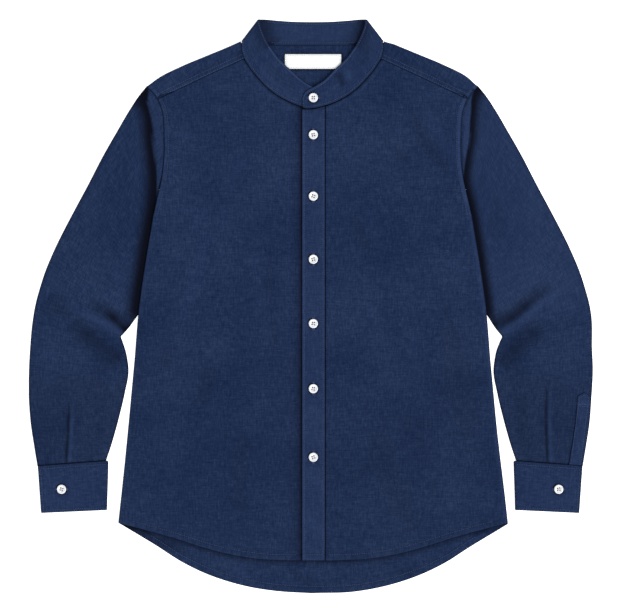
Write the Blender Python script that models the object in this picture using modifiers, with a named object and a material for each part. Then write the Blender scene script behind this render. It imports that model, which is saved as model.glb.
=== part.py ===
"""Mandarin collar shirt, buttoned up and laid flat on its back, in metres with +Z up.

Every cut piece is its own closed solid: the back, the yoke that wraps over both shoulders, two fronts, the
button placket, the standing collar band, two sleeves with their cuffs and plackets, the neck label and nine
buttons.  A place on the shirt is given in millimetres as "out" from its centre line, towards a side, and
"up" from the middle of its length.  The tables hold the wearer's right half, and the left half mirrors it.
"""

import math
from collections import namedtuple

import bmesh
import bpy
import numpy as np

MM = 0.001
RIGHT = -1.0
LEFT = 1.0

# Cloth, in millimetres
CLOTH = 1.0
SEAM_GAP = 0.3
LAYER = CLOTH + SEAM_GAP
INNER_SPACE = 0.6
PRESSED = 2.0 * CLOTH + INNER_SPACE
PLACKET_CLOTH = 1.5
BAND_CLOTH = 1.6
CUFF_CLOTH = 1.4

# Driving sizes, in millimetres
CENTRE_LINE_X = 2.07
BACK_SEAM_UP = 267.0
HEM_TIP = (268.3, -298.9)
FRONT_HEM_UP = -350.8
PLACKET_LEFT_EDGE = 17.4
PLACKET_RIGHT_EDGE = -14.5
RIGHT_FRONT_EDGE = 15.9
ARMHOLE_LAP = 8.0
ARMHOLE_SEAM_GAP = 0.55
UNDERARM_LIFT = 0.15
OFF_TABLE = 0.05
AIR_IN_BODY = 1.6
LEFT_FOREARM_IN = 4.0
LEFT_FOREARM_NARROWER = 2.4
LEFT_SHOULDER_RISE = 2.2
LEFT_HEM_OUT = 1.7
LEFT_TAIL_DROP = 1.8
UNDERARM_UP = 126.0
NECK_SIDE_OUT = 94.8
FRONT_TOP_ROWS_UP = (286.0, 268.0)
UNDER_PLACKET_COLUMNS = (17.3, 8.0, 0.0)
PLACKET_TOP = ((PLACKET_RIGHT_EDGE, 272.2), (0.0, 272.4), (PLACKET_LEFT_EDGE, 276.4))
PLACKET_RAMP = 38.0
SLEEVE_PLACKET_WIDTH = 20.0
SLEEVE_PLACKET_POINT = 8.0
LABEL_SIZE = (78.0, 20.5)
LABEL_CENTRE = (0.7, 338.2)
CUFF_UNDER_RISE = 1.7
CUFF_TOP_RISE = 3.4
CUFF_INSIDE_START = 0.6
CUFF_UNDER_REACH = 34.0
BAND_OVER_END_Z = 5.0
BAND_FOLD_LOW_Z = 3.3
BAND_FOLD_TOP_Z = 7.9

# Buttons, in millimetres
BUTTON_DIAMETER = 12.7
BUTTON_HEIGHT = 2.6
BUTTON_RIM = 1.7
BUTTON_DISH = 0.8
BUTTON_HOLE_DIAMETER = 2.1
BUTTON_HOLE_SPACING = 2.9
BUTTON_EDGE = 0.5
BUTTON_FOOT = 0.6
BUTTON_SIDES = 18
BUTTON_X = 1.1
COLLAR_BUTTON_UP = 287.7
PLACKET_BUTTONS_UP = (236.8, 152.1, 65.1, -23.5, -113.2, -207.7)
CUFF_BUTTON = (346.0, -251.9)
LEFT_BUTTON_IN = 6.6

Row = namedtuple("Row", "out up")
SleeveRing = namedtuple("SleeveRing", "outer_out outer_up inner_out inner_up crown pleat")
BandStation = namedtuple("BandStation", "low_out low_up top_out top_up low_z top_z")

ARMHOLE = (
    Row(228.6, 304.2),
    Row(216.3, 290.5),
    Row(207.9, 271.2),
    Row(204.9, 238.0),
    Row(205.0, 205.0),
    Row(208.5, 175.0),
    Row(214.0, 150.0),
    Row(219.5, 126.0),
)
SIDE = (
    Row(219.5, 126.0),
    Row(230.0, 64.0),
    Row(240.4, -10.0),
    Row(244.6, -60.0),
    Row(249.4, -112.0),
    Row(260.0, -222.0),
    Row(*HEM_TIP),
)
BACK_HEM = (
    Row(*HEM_TIP),
    Row(247.7, -311.0),
    Row(214.4, -331.1),
    Row(182.0, -351.9),
    Row(147.5, -368.9),
    Row(114.5, -380.5),
    Row(81.0, -388.6),
    Row(48.0, -393.3),
    Row(0.0, -396.2),
)
FRONT_HEM = (
    Row(*HEM_TIP),
    Row(232.0, -308.4),
    Row(192.0, -319.5),
    Row(151.0, -332.6),
    Row(111.0, -342.9),
    Row(71.0, -348.9),
    Row(38.0, -350.4),
    Row(0.0, FRONT_HEM_UP),
    Row(-20.0, FRONT_HEM_UP),
)
SHOULDER = (
    Row(99.5, 364.6),
    Row(113.8, 359.5),
    Row(147.0, 345.7),
    Row(180.0, 331.9),
    Row(213.0, 315.3),
    Row(228.6, 304.2),
)
YOKE_FRONT_SEAM = (
    Row(NECK_SIDE_OUT, 341.5),
    Row(150.0, 316.4),
    Row(214.0, 286.0),
)
BACK_NECK = (
    Row(99.5, 364.6),
    Row(95.8, 361.2),
    Row(88.0, 360.6),
    Row(60.0, 360.2),
    Row(0.0, 359.8),
)
FRONT_NECK = (
    Row(99.5, 364.6),
    Row(98.9, 357.5),
    Row(NECK_SIDE_OUT, 341.5),
    Row(89.0, 331.8),
    Row(74.5, 313.3),
    Row(54.5, 294.6),
    Row(32.4, 281.8),
    Row(17.3, 276.0),
    Row(8.0, 273.0),
    Row(0.0, 271.8),
    Row(-20.0, 271.8),
)
# The sleeve's edge that lies hidden under the body, from the underarm to where it comes out again
HIDDEN_SLEEVE = (
    Row(219.5, 126.0),
    Row(207.7, 116.6),
    Row(200.8, 101.4),
    Row(198.0, 83.5),
    Row(199.4, 66.9),
    Row(204.9, 49.0),
    Row(214.6, 28.3),
    Row(225.6, 9.0),
    Row(242.3, -13.8),
    Row(230.0, 64.0),
)
# The first ring is the armhole itself, so its row gives only the crown there
SLEEVE_RINGS = (
    SleeveRing(228.6, 304.2, 219.5, 126.0, PRESSED, 0.0),
    SleeveRing(238.9, 291.6, 207.7, 116.6, 3.6, 0.0),
    SleeveRing(252.4, 271.2, 200.8, 101.4, 4.6, 0.0),
    SleeveRing(269.8, 241.5, 198.0, 83.5, 5.4, 0.0),
    SleeveRing(289.1, 207.7, 199.4, 66.9, 5.8, 0.0),
    SleeveRing(309.1, 169.1, 204.9, 49.0, 5.8, 0.0),
    SleeveRing(329.1, 131.8, 214.6, 28.3, 5.6, 0.0),
    SleeveRing(345.7, 100.1, 225.6, 9.0, 5.4, 0.0),
    SleeveRing(359.5, 71.1, 242.3, -13.8, 5.0, 0.0),
    SleeveRing(369.2, 47.6, 253.0, -28.8, 4.0, 0.0),
    SleeveRing(376.7, 24.2, 261.2, -38.0, 5.8, 0.0),
    SleeveRing(381.4, 7.5, 264.2, -41.4, 5.0, 0.0),
    SleeveRing(385.9, -17.0, 261.9, -49.0, 5.4, 0.0),
    SleeveRing(390.0, -60.0, 256.4, -67.5, 5.8, 0.0),
    SleeveRing(391.7, -98.0, 254.0, -93.0, 5.8, 0.0),
    SleeveRing(391.5, -125.0, 258.8, -118.5, 5.6, 0.0),
    SleeveRing(389.0, -160.0, 267.2, -154.0, 5.4, 0.7),
    SleeveRing(384.4, -191.1, 277.2, -189.8, 5.0, 1.2),
    SleeveRing(379.7, -219.9, 285.0, -213.0, 4.8, 1.2),
)
CUFF_TOP = (Row(378.9, -220.6), Row(281.4, -213.6))
CUFF_END = (Row(374.4, -285.0), Row(283.4, -280.9))

# The band runs from its right front end, which lies under, round the back of the neck
BAND_HALF = (
    BandStation(13.0, 275.4, 13.0, 311.0, 2.9, 3.4),
    BandStation(32.4, 282.5, 31.5, 327.3, 2.9, 3.8),
    BandStation(54.5, 295.4, 48.0, 343.5, 2.9, 4.6),
    BandStation(74.0, 314.0, 61.5, 363.0, 2.9, 5.6),
    BandStation(88.3, 332.2, 69.6, 381.0, 2.9, 6.8),
    BandStation(94.1, 341.8, 71.8, 388.0, 2.9, 7.4),
    BandStation(97.9, 357.6, 72.6, 392.3, 3.2, 7.8),
)
BAND_FOLD_LOW = Row(97.0, 365.4)
BAND_FOLD_TOP = Row(75.2, 396.0)
BAND_FOLD_ANGLES = (75.0, 30.0, -30.0, -90.0)
BAND_FOLD_INWARD = (-0.86, -0.51)
BAND_TIP_INWARD = (-0.98, 0.03)
BAND_BACK = (
    BandStation(87.6, 361.3, 66.0, 395.9, OFF_TABLE, OFF_TABLE),
    BandStation(60.0, 360.8, 50.0, 394.8, OFF_TABLE, OFF_TABLE),
    BandStation(30.0, 360.5, 26.0, 393.2, OFF_TABLE, OFF_TABLE),
    BandStation(0.0, 360.4, 0.0, 392.8, OFF_TABLE, OFF_TABLE),
)
BAND_UNDER_END = (
    BandStation(-10.3, 275.4, -9.3, 300.8, 2.9, 3.2),
    BandStation(0.0, 273.0, 0.5, 303.6, 2.9, 3.2),
)
# Seen from the front, "out" is to the wearer's left here, so the end that lies on top has negative values
BAND_OVER_END = (
    BandStation(17.3, 277.0, 17.0, 312.4, 4.7, 5.2),
    BandStation(3.0, 273.6, 2.6, 303.2, 4.8, BAND_OVER_END_Z),
    BandStation(-4.8, 272.8, -4.8, 299.6, 4.8, BAND_OVER_END_Z),
    BandStation(-9.0, 272.8, -9.0, 296.4, 4.8, BAND_OVER_END_Z),
    BandStation(-11.8, 273.4, -11.8, 292.1, 4.8, BAND_OVER_END_Z),
    BandStation(-13.6, 275.4, -13.6, 286.3, 4.8, BAND_OVER_END_Z),
)

SIDE_ROWS_UP = (
    *(245.0, 215.0, 185.0, 155.0, UNDERARM_UP, 105.0, 80.0, 55.0, 30.0, 5.0, -20.0, -45.0, -90.0, -150.0, -222.0),
    HEM_TIP[1],
)
BACK_COLUMNS = (0.0, 0.06, 0.12, 0.18, 0.25, 0.33, 0.45, 0.6, 0.8, 1.0)
FRONT_COLUMNS_OUT = (214.0, 196.0, 176.0, 150.0, 122.0, NECK_SIDE_OUT, 82.0, 66.0, 48.0, 30.0)
YOKE_NECK_COLUMNS_OUT = (0.0, 30.0, 60.0, 88.0)
YOKE_SEAM_OUT = (98.0, 207.3)
YOKE_PARTS = (0.0, 0.12, 0.3, 0.5, 0.7, 0.86, 1.0)
YOKE_ROWS = (0.0, 0.35, 0.7)
YOKE_FOLD_ANGLES = (-90.0, -45.0, 0.0, 45.0, 90.0)
SLEEVE_PARTS = (0.2, 0.4, 0.6, 0.8, 1.0)
SLEEVE_PLACKET_RINGS = 4
CUFF_ROWS = (0.0, 0.33, 0.67, 1.0)
BAND_ROWS = (0.0, 0.33, 0.67, 1.0)


def ease(value):
    """A step from 0 to 1 with soft ends."""
    clamped = np.clip(value, 0.0, 1.0)
    return clamped * clamped * (3.0 - 2.0 * clamped)


class Outline:
    """A smooth line through a table's rows, measured by its length from the first row."""

    def __init__(self, rows):
        self.points = np.array(rows, dtype=float)
        chords = np.diff(self.points, axis=0)
        steps = np.linalg.norm(chords, axis=1)
        self.stations = np.concatenate([[0.0], np.cumsum(steps)])
        secants = chords / steps[:, None]
        weights = steps[1:, None] + steps[:-1, None]
        inner = (secants[1:] * steps[:-1, None] + secants[:-1] * steps[1:, None]) / weights
        self.slopes = np.vstack([secants[:1], inner, secants[-1:]])
        self.length = self.stations[-1]

    def at(self, lengths):
        """The points at these lengths along the line."""
        lengths = np.clip(np.asarray(lengths, dtype=float), 0.0, self.length)
        index = np.clip(np.searchsorted(self.stations, lengths) - 1, 0, len(self.points) - 2)
        step = (self.stations[index + 1] - self.stations[index])[:, None]
        t = ((lengths - self.stations[index]) / step[:, 0])[:, None]
        start, end = self.points[index], self.points[index + 1]
        start_slope, end_slope = self.slopes[index] * step, self.slopes[index + 1] * step
        return (
            (2 * t**3 - 3 * t**2 + 1) * start
            + (t**3 - 2 * t**2 + t) * start_slope
            + (3 * t**2 - 2 * t**3) * end
            + (t**3 - t**2) * end_slope
        )

    def crossing(self, axis, values):
        """The points where the line, which runs one way along this axis, reaches these values."""
        lengths = np.linspace(0.0, self.length, 400)
        samples = self.at(lengths)[:, axis]
        order = np.argsort(samples)
        return self.at(np.interp(np.asarray(values, dtype=float), samples[order], lengths[order]))


OUT, UP = 0, 1
armhole = Outline(ARMHOLE)
side = Outline(SIDE)
back_hem = Outline(BACK_HEM)
front_hem = Outline(FRONT_HEM)
shoulder = Outline(SHOULDER)
yoke_front_seam = Outline(YOKE_FRONT_SEAM)
back_neck = Outline(BACK_NECK)
front_neck = Outline(FRONT_NECK)
hidden_sleeve = np.array(HIDDEN_SLEEVE)


def distance_outside(points, polygon):
    """How far each point lies outside a closed polygon, and 0 inside it."""
    shape = points.shape[:-1]
    flat = points.reshape(-1, 2)
    starts, ends = polygon, np.roll(polygon, -1, axis=0)
    edges = ends - starts
    offsets = flat[:, None] - starts[None]
    along = np.clip((offsets * edges).sum(-1) / (edges * edges).sum(-1), 0.0, 1.0)
    nearest = np.linalg.norm(offsets - along[..., None] * edges, axis=-1).min(axis=1)
    straddles = (starts[:, 1] > flat[:, None, 1]) != (ends[:, 1] > flat[:, None, 1])
    rise = np.where(edges[:, 1] == 0.0, 1.0, edges[:, 1])
    crossing_out = starts[:, 0] + (flat[:, None, 1] - starts[:, 1]) * edges[:, 0] / rise
    inside = (straddles & (flat[:, None, 0] < crossing_out)).sum(axis=1) % 2 == 1
    return np.where(inside, 0.0, nearest).reshape(shape)


def body_outline():
    """The edge of the body below the shoulder, as a polygon on one half."""
    armhole_points = armhole.at(np.linspace(0.0, armhole.length, 20))
    side_points = side.at(np.linspace(0.0, side.length, 20))[1:]
    return np.vstack([armhole_points, side_points, [[0.0, HEM_TIP[1]], [0.0, SHOULDER[-1].up]]])


def over_sleeve(points):
    """How far the body is lifted by the sleeve that lies under it, from 0 to 1."""
    margin, ramp = 32.0, 28.0
    return ease(1.0 - (distance_outside(points, hidden_sleeve) - margin) / ramp)


def air_in_body(points):
    """How far the front stands clear of the back, from 0 at the pressed side and hem to 1."""
    side_out = side.crossing(UP, points[..., UP].ravel())[:, OUT].reshape(points.shape[:-1])
    hem_up = front_hem.crossing(OUT, np.abs(points[..., OUT]).ravel())[:, UP].reshape(points.shape[:-1])
    from_side = ease((side_out - points[..., OUT]) / 45.0)
    above_underarm = ease((points[..., UP] - 96.0) / 28.0)
    from_hem = ease((points[..., UP] - hem_up) / 70.0)
    return np.maximum(from_side, above_underarm) * from_hem


def back_height(points):
    """The height of the back's underside."""
    return (PRESSED + SEAM_GAP) * over_sleeve(points)


def front_height(points):
    """The height of a front's underside."""
    return back_height(points) + LAYER + AIR_IN_BODY * air_in_body(points)


def placket_height(points):
    """The height of the placket's underside, which lies on the right front."""
    return front_height(points) + LAYER


def edges_patch(top, bottom, first, last, across, along):
    """A grid of points between four edges, for these fractions across and along it."""
    u = np.asarray(across)[None, :, None]
    v = np.asarray(along)[:, None, None]
    between_ends = (1 - v) * top[None] + v * bottom[None]
    between_sides = (1 - u) * first[:, None] + u * last[:, None]
    corners = (1 - u) * (1 - v) * top[0] + u * (1 - v) * top[-1] + (1 - u) * v * bottom[0] + u * v * bottom[-1]
    return between_ends + between_sides - corners


def inset(grid, amount):
    """Moves a plan grid's edges in by this amount, so that the seams keep their gap."""
    moved = grid.copy()
    down = np.gradient(grid, axis=0)
    right = np.gradient(grid, axis=1)
    down /= np.linalg.norm(down, axis=-1, keepdims=True)
    right /= np.linalg.norm(right, axis=-1, keepdims=True)
    moved[0] += down[0] * amount
    moved[-1] -= down[-1] * amount
    moved[:, 0] += right[:, 0] * amount
    moved[:, -1] -= right[:, -1] * amount
    return moved


def raised(plan, height, hand, tail_drop=0.0):
    """Plan points with their heights, on the wearer's right or left side.

    The left hem lies a little further out than the right one, and the left half of the tail a little lower.
    """
    out, up = plan[..., OUT].copy(), plan[..., UP].copy()
    if hand == LEFT:
        out += LEFT_HEM_OUT * ease((-150.0 - plan[..., UP]) / 120.0) * ease((plan[..., OUT] - 60.0) / 150.0)
        up -= tail_drop * ease((-250.0 - plan[..., UP]) / 60.0) * ease(plan[..., OUT] / 60.0)
    return np.dstack([out * hand, up, height])


def cloth_material(name, colour, roughness):
    """A plain finish with this linear colour."""
    material = bpy.data.materials.new(name)
    material.use_nodes = True
    shader = material.node_tree.nodes["Principled BSDF"]
    shader.inputs["Base Color"].default_value = (*colour, 1.0)
    shader.inputs["Roughness"].default_value = roughness
    shader.inputs["Metallic"].default_value = 0.0
    return material


def add_object(name, mesh, material):
    """Places a mesh in the shirt's collection, under the empty that marks its centre line."""
    shirt_object = bpy.data.objects.new(name, mesh)
    mesh.materials.clear()
    mesh.materials.append(material)
    collection.objects.link(shirt_object)
    shirt_object.parent = centre_line
    return shirt_object


def sheet_object(name, columns, thickness, closed=False):
    """A cloth wall, thickened both ways from the middle surface that these columns of points give.

    Neighbouring columns may differ in length: faces join them as far as the shorter one goes.
    """
    form = bmesh.new()
    vertices = [[form.verts.new(np.asarray(point) * MM) for point in column] for column in columns]
    pairs = list(zip(vertices[:-1], vertices[1:]))
    if closed:
        pairs.append((vertices[-1], vertices[0]))
    for first, second in pairs:
        for row in range(min(len(first), len(second)) - 1):
            form.faces.new((first[row], first[row + 1], second[row + 1], second[row]))
    bmesh.ops.recalc_face_normals(form, faces=form.faces)
    mesh = bpy.data.meshes.new(name)
    form.to_mesh(mesh)
    form.free()
    cloth_object = add_object(name, mesh, shirt_cloth)
    wall = cloth_object.modifiers.new("wall", "SOLIDIFY")
    wall.thickness = thickness * MM
    wall.offset = 0.0
    wall.use_even_offset = True
    mesh.shade_smooth()
    return cloth_object


def side_edge(ups):
    """The points on the armhole and the side at these places up."""
    above = ups >= UNDERARM_UP
    return np.vstack([armhole.crossing(UP, ups[above]), side.crossing(UP, ups[~above])])


def build_back():
    """The back, from the yoke seam to the long curved tail, raised where the sleeves lie under it."""
    ups = np.array((BACK_SEAM_UP, *SIDE_ROWS_UP))
    edge = side_edge(ups)
    along = (ups[0] - ups) / (ups[0] - ups[-1])
    across = np.array(BACK_COLUMNS)
    top = np.column_stack([edge[0, OUT] * (1 - across), np.full(len(across), BACK_SEAM_UP)])
    hem = back_hem.crossing(OUT, edge[-1, OUT] * (1 - across))
    middle = np.column_stack([np.zeros(len(ups)), BACK_SEAM_UP + (hem[-1, UP] - BACK_SEAM_UP) * along])
    plan = inset(edges_patch(top, hem, edge, middle, across, along), SEAM_GAP / 2)
    plan[:, -1, OUT] = 0.0
    right = raised(plan, back_height(plan) + CLOTH / 2, RIGHT)
    left = raised(plan, back_height(plan) + CLOTH / 2, LEFT, LEFT_TAIL_DROP)
    whole = np.concatenate([right, left[:, -2::-1]], axis=1)
    sheet_object("back_panel", whole.transpose(1, 0, 2), CLOTH)


def front_plan(edge_out):
    """A front's plan grid, from its side to the edge at this distance out from the centre line."""
    ups = np.array((*FRONT_TOP_ROWS_UP, *SIDE_ROWS_UP))
    edge = side_edge(ups)
    along = (ups[0] - ups) / (ups[0] - ups[-1])
    near_edge = (*UNDER_PLACKET_COLUMNS, edge_out) if edge_out < 0.0 else (edge_out,)
    outs = np.array((*FRONT_COLUMNS_OUT, *near_edge))
    across = (outs[0] - outs) / (outs[0] - outs[-1])
    seam = yoke_front_seam.crossing(OUT, outs[outs >= NECK_SIDE_OUT])
    neck = front_neck.crossing(OUT, outs[outs < NECK_SIDE_OUT])
    top = np.vstack([seam, neck])
    hem_outs = HEM_TIP[0] + (edge_out - HEM_TIP[0]) * across
    hem = front_hem.crossing(OUT, hem_outs)
    middle = np.column_stack([np.full(len(ups), edge_out), top[-1, UP] + (hem[-1, UP] - top[-1, UP]) * along])
    return inset(edges_patch(top, hem, edge, middle, across, along), SEAM_GAP / 2)


def build_fronts():
    """The right front runs on under the placket. The left front ends at the placket's seam, on top of it."""
    right = front_plan(-RIGHT_FRONT_EDGE)
    sheet_object("front_right", raised(right, front_height(right) + CLOTH / 2, RIGHT).transpose(1, 0, 2), CLOTH)
    left = front_plan(PLACKET_LEFT_EDGE + SEAM_GAP)
    over_placket = LAYER * ease(1.0 - (left[..., OUT] - PLACKET_LEFT_EDGE) / PLACKET_RAMP)
    height = front_height(left) + over_placket + CLOTH / 2
    sheet_object("front_left", raised(left, height, LEFT).transpose(1, 0, 2), CLOTH)


def build_placket():
    """The button strip, from the collar band to the front hem."""
    rows = front_plan(-RIGHT_FRONT_EDGE)[:, -1, UP]
    columns = []
    for across, top_up in PLACKET_TOP:
        ups = rows.copy()
        ups[0] = top_up
        plan = np.column_stack([np.full(len(ups), across), ups])
        height = placket_height(plan[None])[0] + PLACKET_CLOTH / 2
        columns.append(np.column_stack([plan, height]))
    sheet_object("placket", columns, PLACKET_CLOTH)


def yoke_column(start, fold, end):
    """One line of the yoke, from its back seam to the shoulder fold and over it to its front seam."""
    back_z, front_z = CLOTH / 2, PRESSED + SEAM_GAP + CLOTH / 2
    radius = (front_z - back_z) / 2
    towards_back = (start - fold) / np.linalg.norm(start - fold)
    towards_front = (end - fold) / np.linalg.norm(end - fold)
    column = [(*(start + (fold - start) * part), back_z) for part in YOKE_ROWS]
    for angle in np.radians(YOKE_FOLD_ANGLES):
        direction = towards_back if angle < 0.0 else towards_front
        place = fold + direction * (CLOTH / 2 + radius * (1.0 - math.cos(angle)))
        column.append((*place, back_z + radius * (1.0 + math.sin(angle))))
    front_start = fold + towards_front * (CLOTH / 2 + radius)
    column += [(*(front_start + (end - front_start) * part), front_z) for part in (0.5, 1.0)]
    return np.array(column)


def yoke_half(shoulder_rise):
    """The yoke's columns from the middle of the neck outwards, with its shoulder raised this much."""
    gap = SEAM_GAP / 2
    half = []
    for across in YOKE_NECK_COLUMNS_OUT:
        top_up = back_neck.crossing(OUT, [across])[0, UP] - gap
        start_up = BACK_SEAM_UP + gap
        half.append(np.array([(across, start_up + (top_up - start_up) * part, CLOTH / 2)
                              for part in (*YOKE_ROWS, 1.0)]))
    for part in YOKE_PARTS:
        first, last = YOKE_SEAM_OUT
        start = np.array([first + (last - first) * part, BACK_SEAM_UP + gap])
        fold = shoulder.at([part * shoulder.length])[0]
        fold[UP] += shoulder_rise * ease(part / 0.12) * ease((1.0 - part) / 0.15)
        end = yoke_front_seam.at([part * yoke_front_seam.length])[0] + np.array([0.0, gap])
        half.append(yoke_column(start, fold, end))
    armhole_edge = half[-1]
    for row in (1, 2):
        armhole_edge[row, OUT] = armhole.crossing(UP, [armhole_edge[row, UP]])[0, OUT]
    armhole_edge[-2, :2] = armhole.crossing(UP, [armhole_edge[-2, UP]])[0]
    armhole_edge[:, OUT] -= gap
    return half


def build_yoke():
    """The yoke: one piece behind the neck that wraps forward over both shoulders."""
    right = [column * np.array([RIGHT, 1.0, 1.0]) for column in yoke_half(0.0)]
    sheet_object("yoke", right[:0:-1] + yoke_half(LEFT_SHOULDER_RISE), CLOTH)


def band_fold(hand):
    """The collar band's soft fold at the side of the neck, from front to back."""
    stations = []
    back_z = OFF_TABLE + BAND_CLOTH / 2
    for angle in np.radians(BAND_FOLD_ANGLES):
        tip_inward = BAND_TIP_INWARD if angle < 0.0 else BAND_FOLD_INWARD
        ends = []
        for edge, inward, front_z in ((BAND_FOLD_LOW, BAND_FOLD_INWARD, BAND_FOLD_LOW_Z),
                                      (BAND_FOLD_TOP, tip_inward, BAND_FOLD_TOP_Z)):
            radius = (front_z + BAND_CLOTH / 2 - back_z) / 2
            place = np.array(edge) + np.array(inward) * (BAND_CLOTH / 2 + radius * (1.0 - math.cos(angle)))
            ends.append(np.array([place[OUT] * hand, place[UP], back_z + radius * (1.0 + math.sin(angle))]))
        stations.append(ends)
    return stations


def band_stations(rows, hand):
    """The lower and upper points of the band's table rows, on the wearer's right or left side."""
    stations = []
    for row in rows:
        low = np.array([row.low_out * hand, row.low_up, row.low_z + BAND_CLOTH / 2])
        top = np.array([row.top_out * hand, row.top_up, row.top_z + BAND_CLOTH / 2])
        stations.append([low, top])
    return stations


def build_collar():
    """The standing band, folded down at both sides of the neck, with its left end over its right one."""
    stations = band_stations(BAND_UNDER_END, RIGHT) + band_stations(BAND_HALF, RIGHT) + band_fold(RIGHT)
    stations += band_stations(BAND_BACK, RIGHT) + band_stations(BAND_BACK[-2::-1], LEFT)
    stations += band_fold(LEFT)[::-1] + band_stations(BAND_HALF[:0:-1], LEFT)
    stations += band_stations(BAND_OVER_END, LEFT)
    columns = [[low + (top - low) * part for part in BAND_ROWS] for low, top in stations]
    sheet_object("collar_band", columns, BAND_CLOTH)


def ring_distances(width):
    """Where a sleeve ring has its points, from its outer edge to its inner edge."""
    roll = PRESSED / 2
    rest = width - roll - SLEEVE_PLACKET_WIDTH
    beyond = [SLEEVE_PLACKET_WIDTH + rest * part for part in SLEEVE_PARTS]
    return np.array([roll, SLEEVE_PLACKET_WIDTH / 2, SLEEVE_PLACKET_WIDTH, *beyond])


class Sleeve:
    """A flattened tube from the armhole to the cuff, whose rings are ovals with an upper and a lower layer."""

    def __init__(self, hand):
        self.hand = hand
        self.pleat_column = 4 if hand == RIGHT else 5
        self.body = body_outline()
        self.rings = [self.ring(index) for index in range(len(SLEEVE_RINGS))]

    def edge_point(self, out, up, is_outer):
        """A point of the table, moved in below the elbow on the left, whose forearm lies closer."""
        if self.hand == LEFT:
            out -= LEFT_FOREARM_IN * float(ease((-5.0 - up) / 60.0))
            if is_outer:
                out -= LEFT_FOREARM_NARROWER * float(ease((-75.0 - up) / 60.0))
        return np.array([out, up])

    def ends(self, index):
        """The outer and the inner end of a ring."""
        row = SLEEVE_RINGS[index]
        outer = self.edge_point(row.outer_out, row.outer_up, True)
        return outer, self.edge_point(row.inner_out, row.inner_up, False)

    def plan(self, index, distances, lap):
        """Plan points of a ring at these distances from its outer edge."""
        outer, inner = self.ends(index)
        width = np.linalg.norm(inner - outer)
        parts = distances[:, None] / width
        if index > 0:
            return outer + (inner - outer) * parts
        points = armhole.at(parts[:, 0] * armhole.length)
        taper = ease(parts / 0.12) * ease((0.62 - parts) / 0.15)
        return points - np.array([1.0, 0.0]) * (lap * taper - ARMHOLE_SEAM_GAP)

    def over_placket(self, index):
        """The height of the lower layer where the right sleeve's placket lies under it."""
        return LAYER if self.hand == RIGHT and index >= len(SLEEVE_RINGS) - SLEEVE_PLACKET_RINGS - 1 else 0.0

    def ring(self, index):
        """The points round a ring: its outer edge, the upper layer, its inner edge and the lower layer."""
        row = SLEEVE_RINGS[index]
        outer, inner = self.ends(index)
        width = np.linalg.norm(inner - outer)
        distances = ring_distances(width)
        upper_plan = self.plan(index, distances, ARMHOLE_LAP)
        lower_plan = self.plan(index, distances, 0.0)
        lift = self.over_placket(index)
        lower_z = np.full(len(distances), CLOTH / 2 + OFF_TABLE)
        lower_z[:3] += lift
        lower_z[-1] += UNDERARM_LIFT if index < 2 else 0.0
        bell = np.sin(np.pi * distances / width) ** 0.6
        clear = ease((distance_outside(upper_plan, self.body) - 16.0) / 30.0)
        upper_z = PRESSED - CLOTH / 2 + (row.crown - PRESSED) * bell * clear
        upper_z[:3] = np.maximum(upper_z[:3], lower_z[:3] + CLOTH + INNER_SPACE)
        upper_z[self.pleat_column] -= row.pleat
        edges = self.plan(index, np.array([CLOTH / 2, width - CLOTH / 2]), 0.0)
        outer_edge = (*edges[0], PRESSED / 2 + lift)
        inner_edge = (*edges[1], PRESSED / 2)
        upper = np.column_stack([upper_plan, upper_z])
        lower = np.column_stack([lower_plan, lower_z])
        ring = np.vstack([[outer_edge], upper, [inner_edge], lower[::-1]])
        return ring * np.array([self.hand, 1.0, 1.0])

    def build(self, name):
        """Makes the sleeve's solid."""
        columns = np.array(self.rings).transpose(1, 0, 2)
        return sheet_object(name, columns, CLOTH, closed=True)

    def placket_columns(self, layer):
        """The sleeve's own points along its outer edge above the cuff, moved clear of its surface."""
        indices = (1, 2, 3) if layer == "upper" else (-1, -2, -3)
        shift = LAYER if layer == "upper" else -LAYER
        first = len(SLEEVE_RINGS) - SLEEVE_PLACKET_RINGS
        columns = []
        for place, index in enumerate(indices):
            column = [self.rings[ring][index] + np.array([0.0, 0.0, shift])
                      for ring in range(first, len(SLEEVE_RINGS))]
            before = self.rings[first - 1][index] + np.array([0.0, 0.0, shift])
            if place == 1:
                step = before - column[0]
                column[0] = column[0] + step * SLEEVE_PLACKET_POINT / np.linalg.norm(step)
            columns.append(column)
        return columns


def cuff_section(width):
    """The cuff's line across the sleeve: from its free end on top, round, and back under that end."""
    bottom = CUFF_CLOTH / 2
    under, top = bottom + CUFF_UNDER_RISE, bottom + CUFF_TOP_RISE
    large, small = (top - bottom) / 2, (under - bottom) / 2
    inner = width - CUFF_CLOTH / 2
    section = [(distance, top) for distance in (0.0, width * 0.25, width * 0.5, width * 0.75, inner - large)]
    section += [(inner - large * (1 - math.cos(a)), under + large * math.sin(a)) for a in np.radians((45, 0, -45))]
    section += [(distance, bottom) for distance in (inner - large, width * 0.7, width * 0.35)]
    outer = CUFF_CLOTH / 2 + CUFF_INSIDE_START
    middle = (bottom + under) / 2
    section += [(outer + small, bottom)]
    section += [(outer + small * (1 - math.cos(a)), middle + small * math.sin(a)) for a in np.radians((-30, 30))]
    section += [(outer + distance, under) for distance in (small, CUFF_UNDER_REACH / 2, CUFF_UNDER_REACH)]
    return section


def build_cuff(name, sleeve):
    """A barrel cuff, buttoned, at the end of this sleeve."""
    columns = []
    for part in CUFF_ROWS:
        outer, inner = (
            sleeve.edge_point(*(np.array(top) + (np.array(end) - np.array(top)) * part), is_outer)
            for top, end, is_outer in zip(CUFF_TOP, CUFF_END, (True, False))
        )
        width = np.linalg.norm(inner - outer)
        direction = (inner - outer) / width
        column = [(*(outer + direction * distance), z) for distance, z in cuff_section(width)]
        columns.append(np.array(column) * np.array([sleeve.hand, 1.0, 1.0]))
    sheet_object(name, columns, CUFF_CLOTH)


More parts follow.
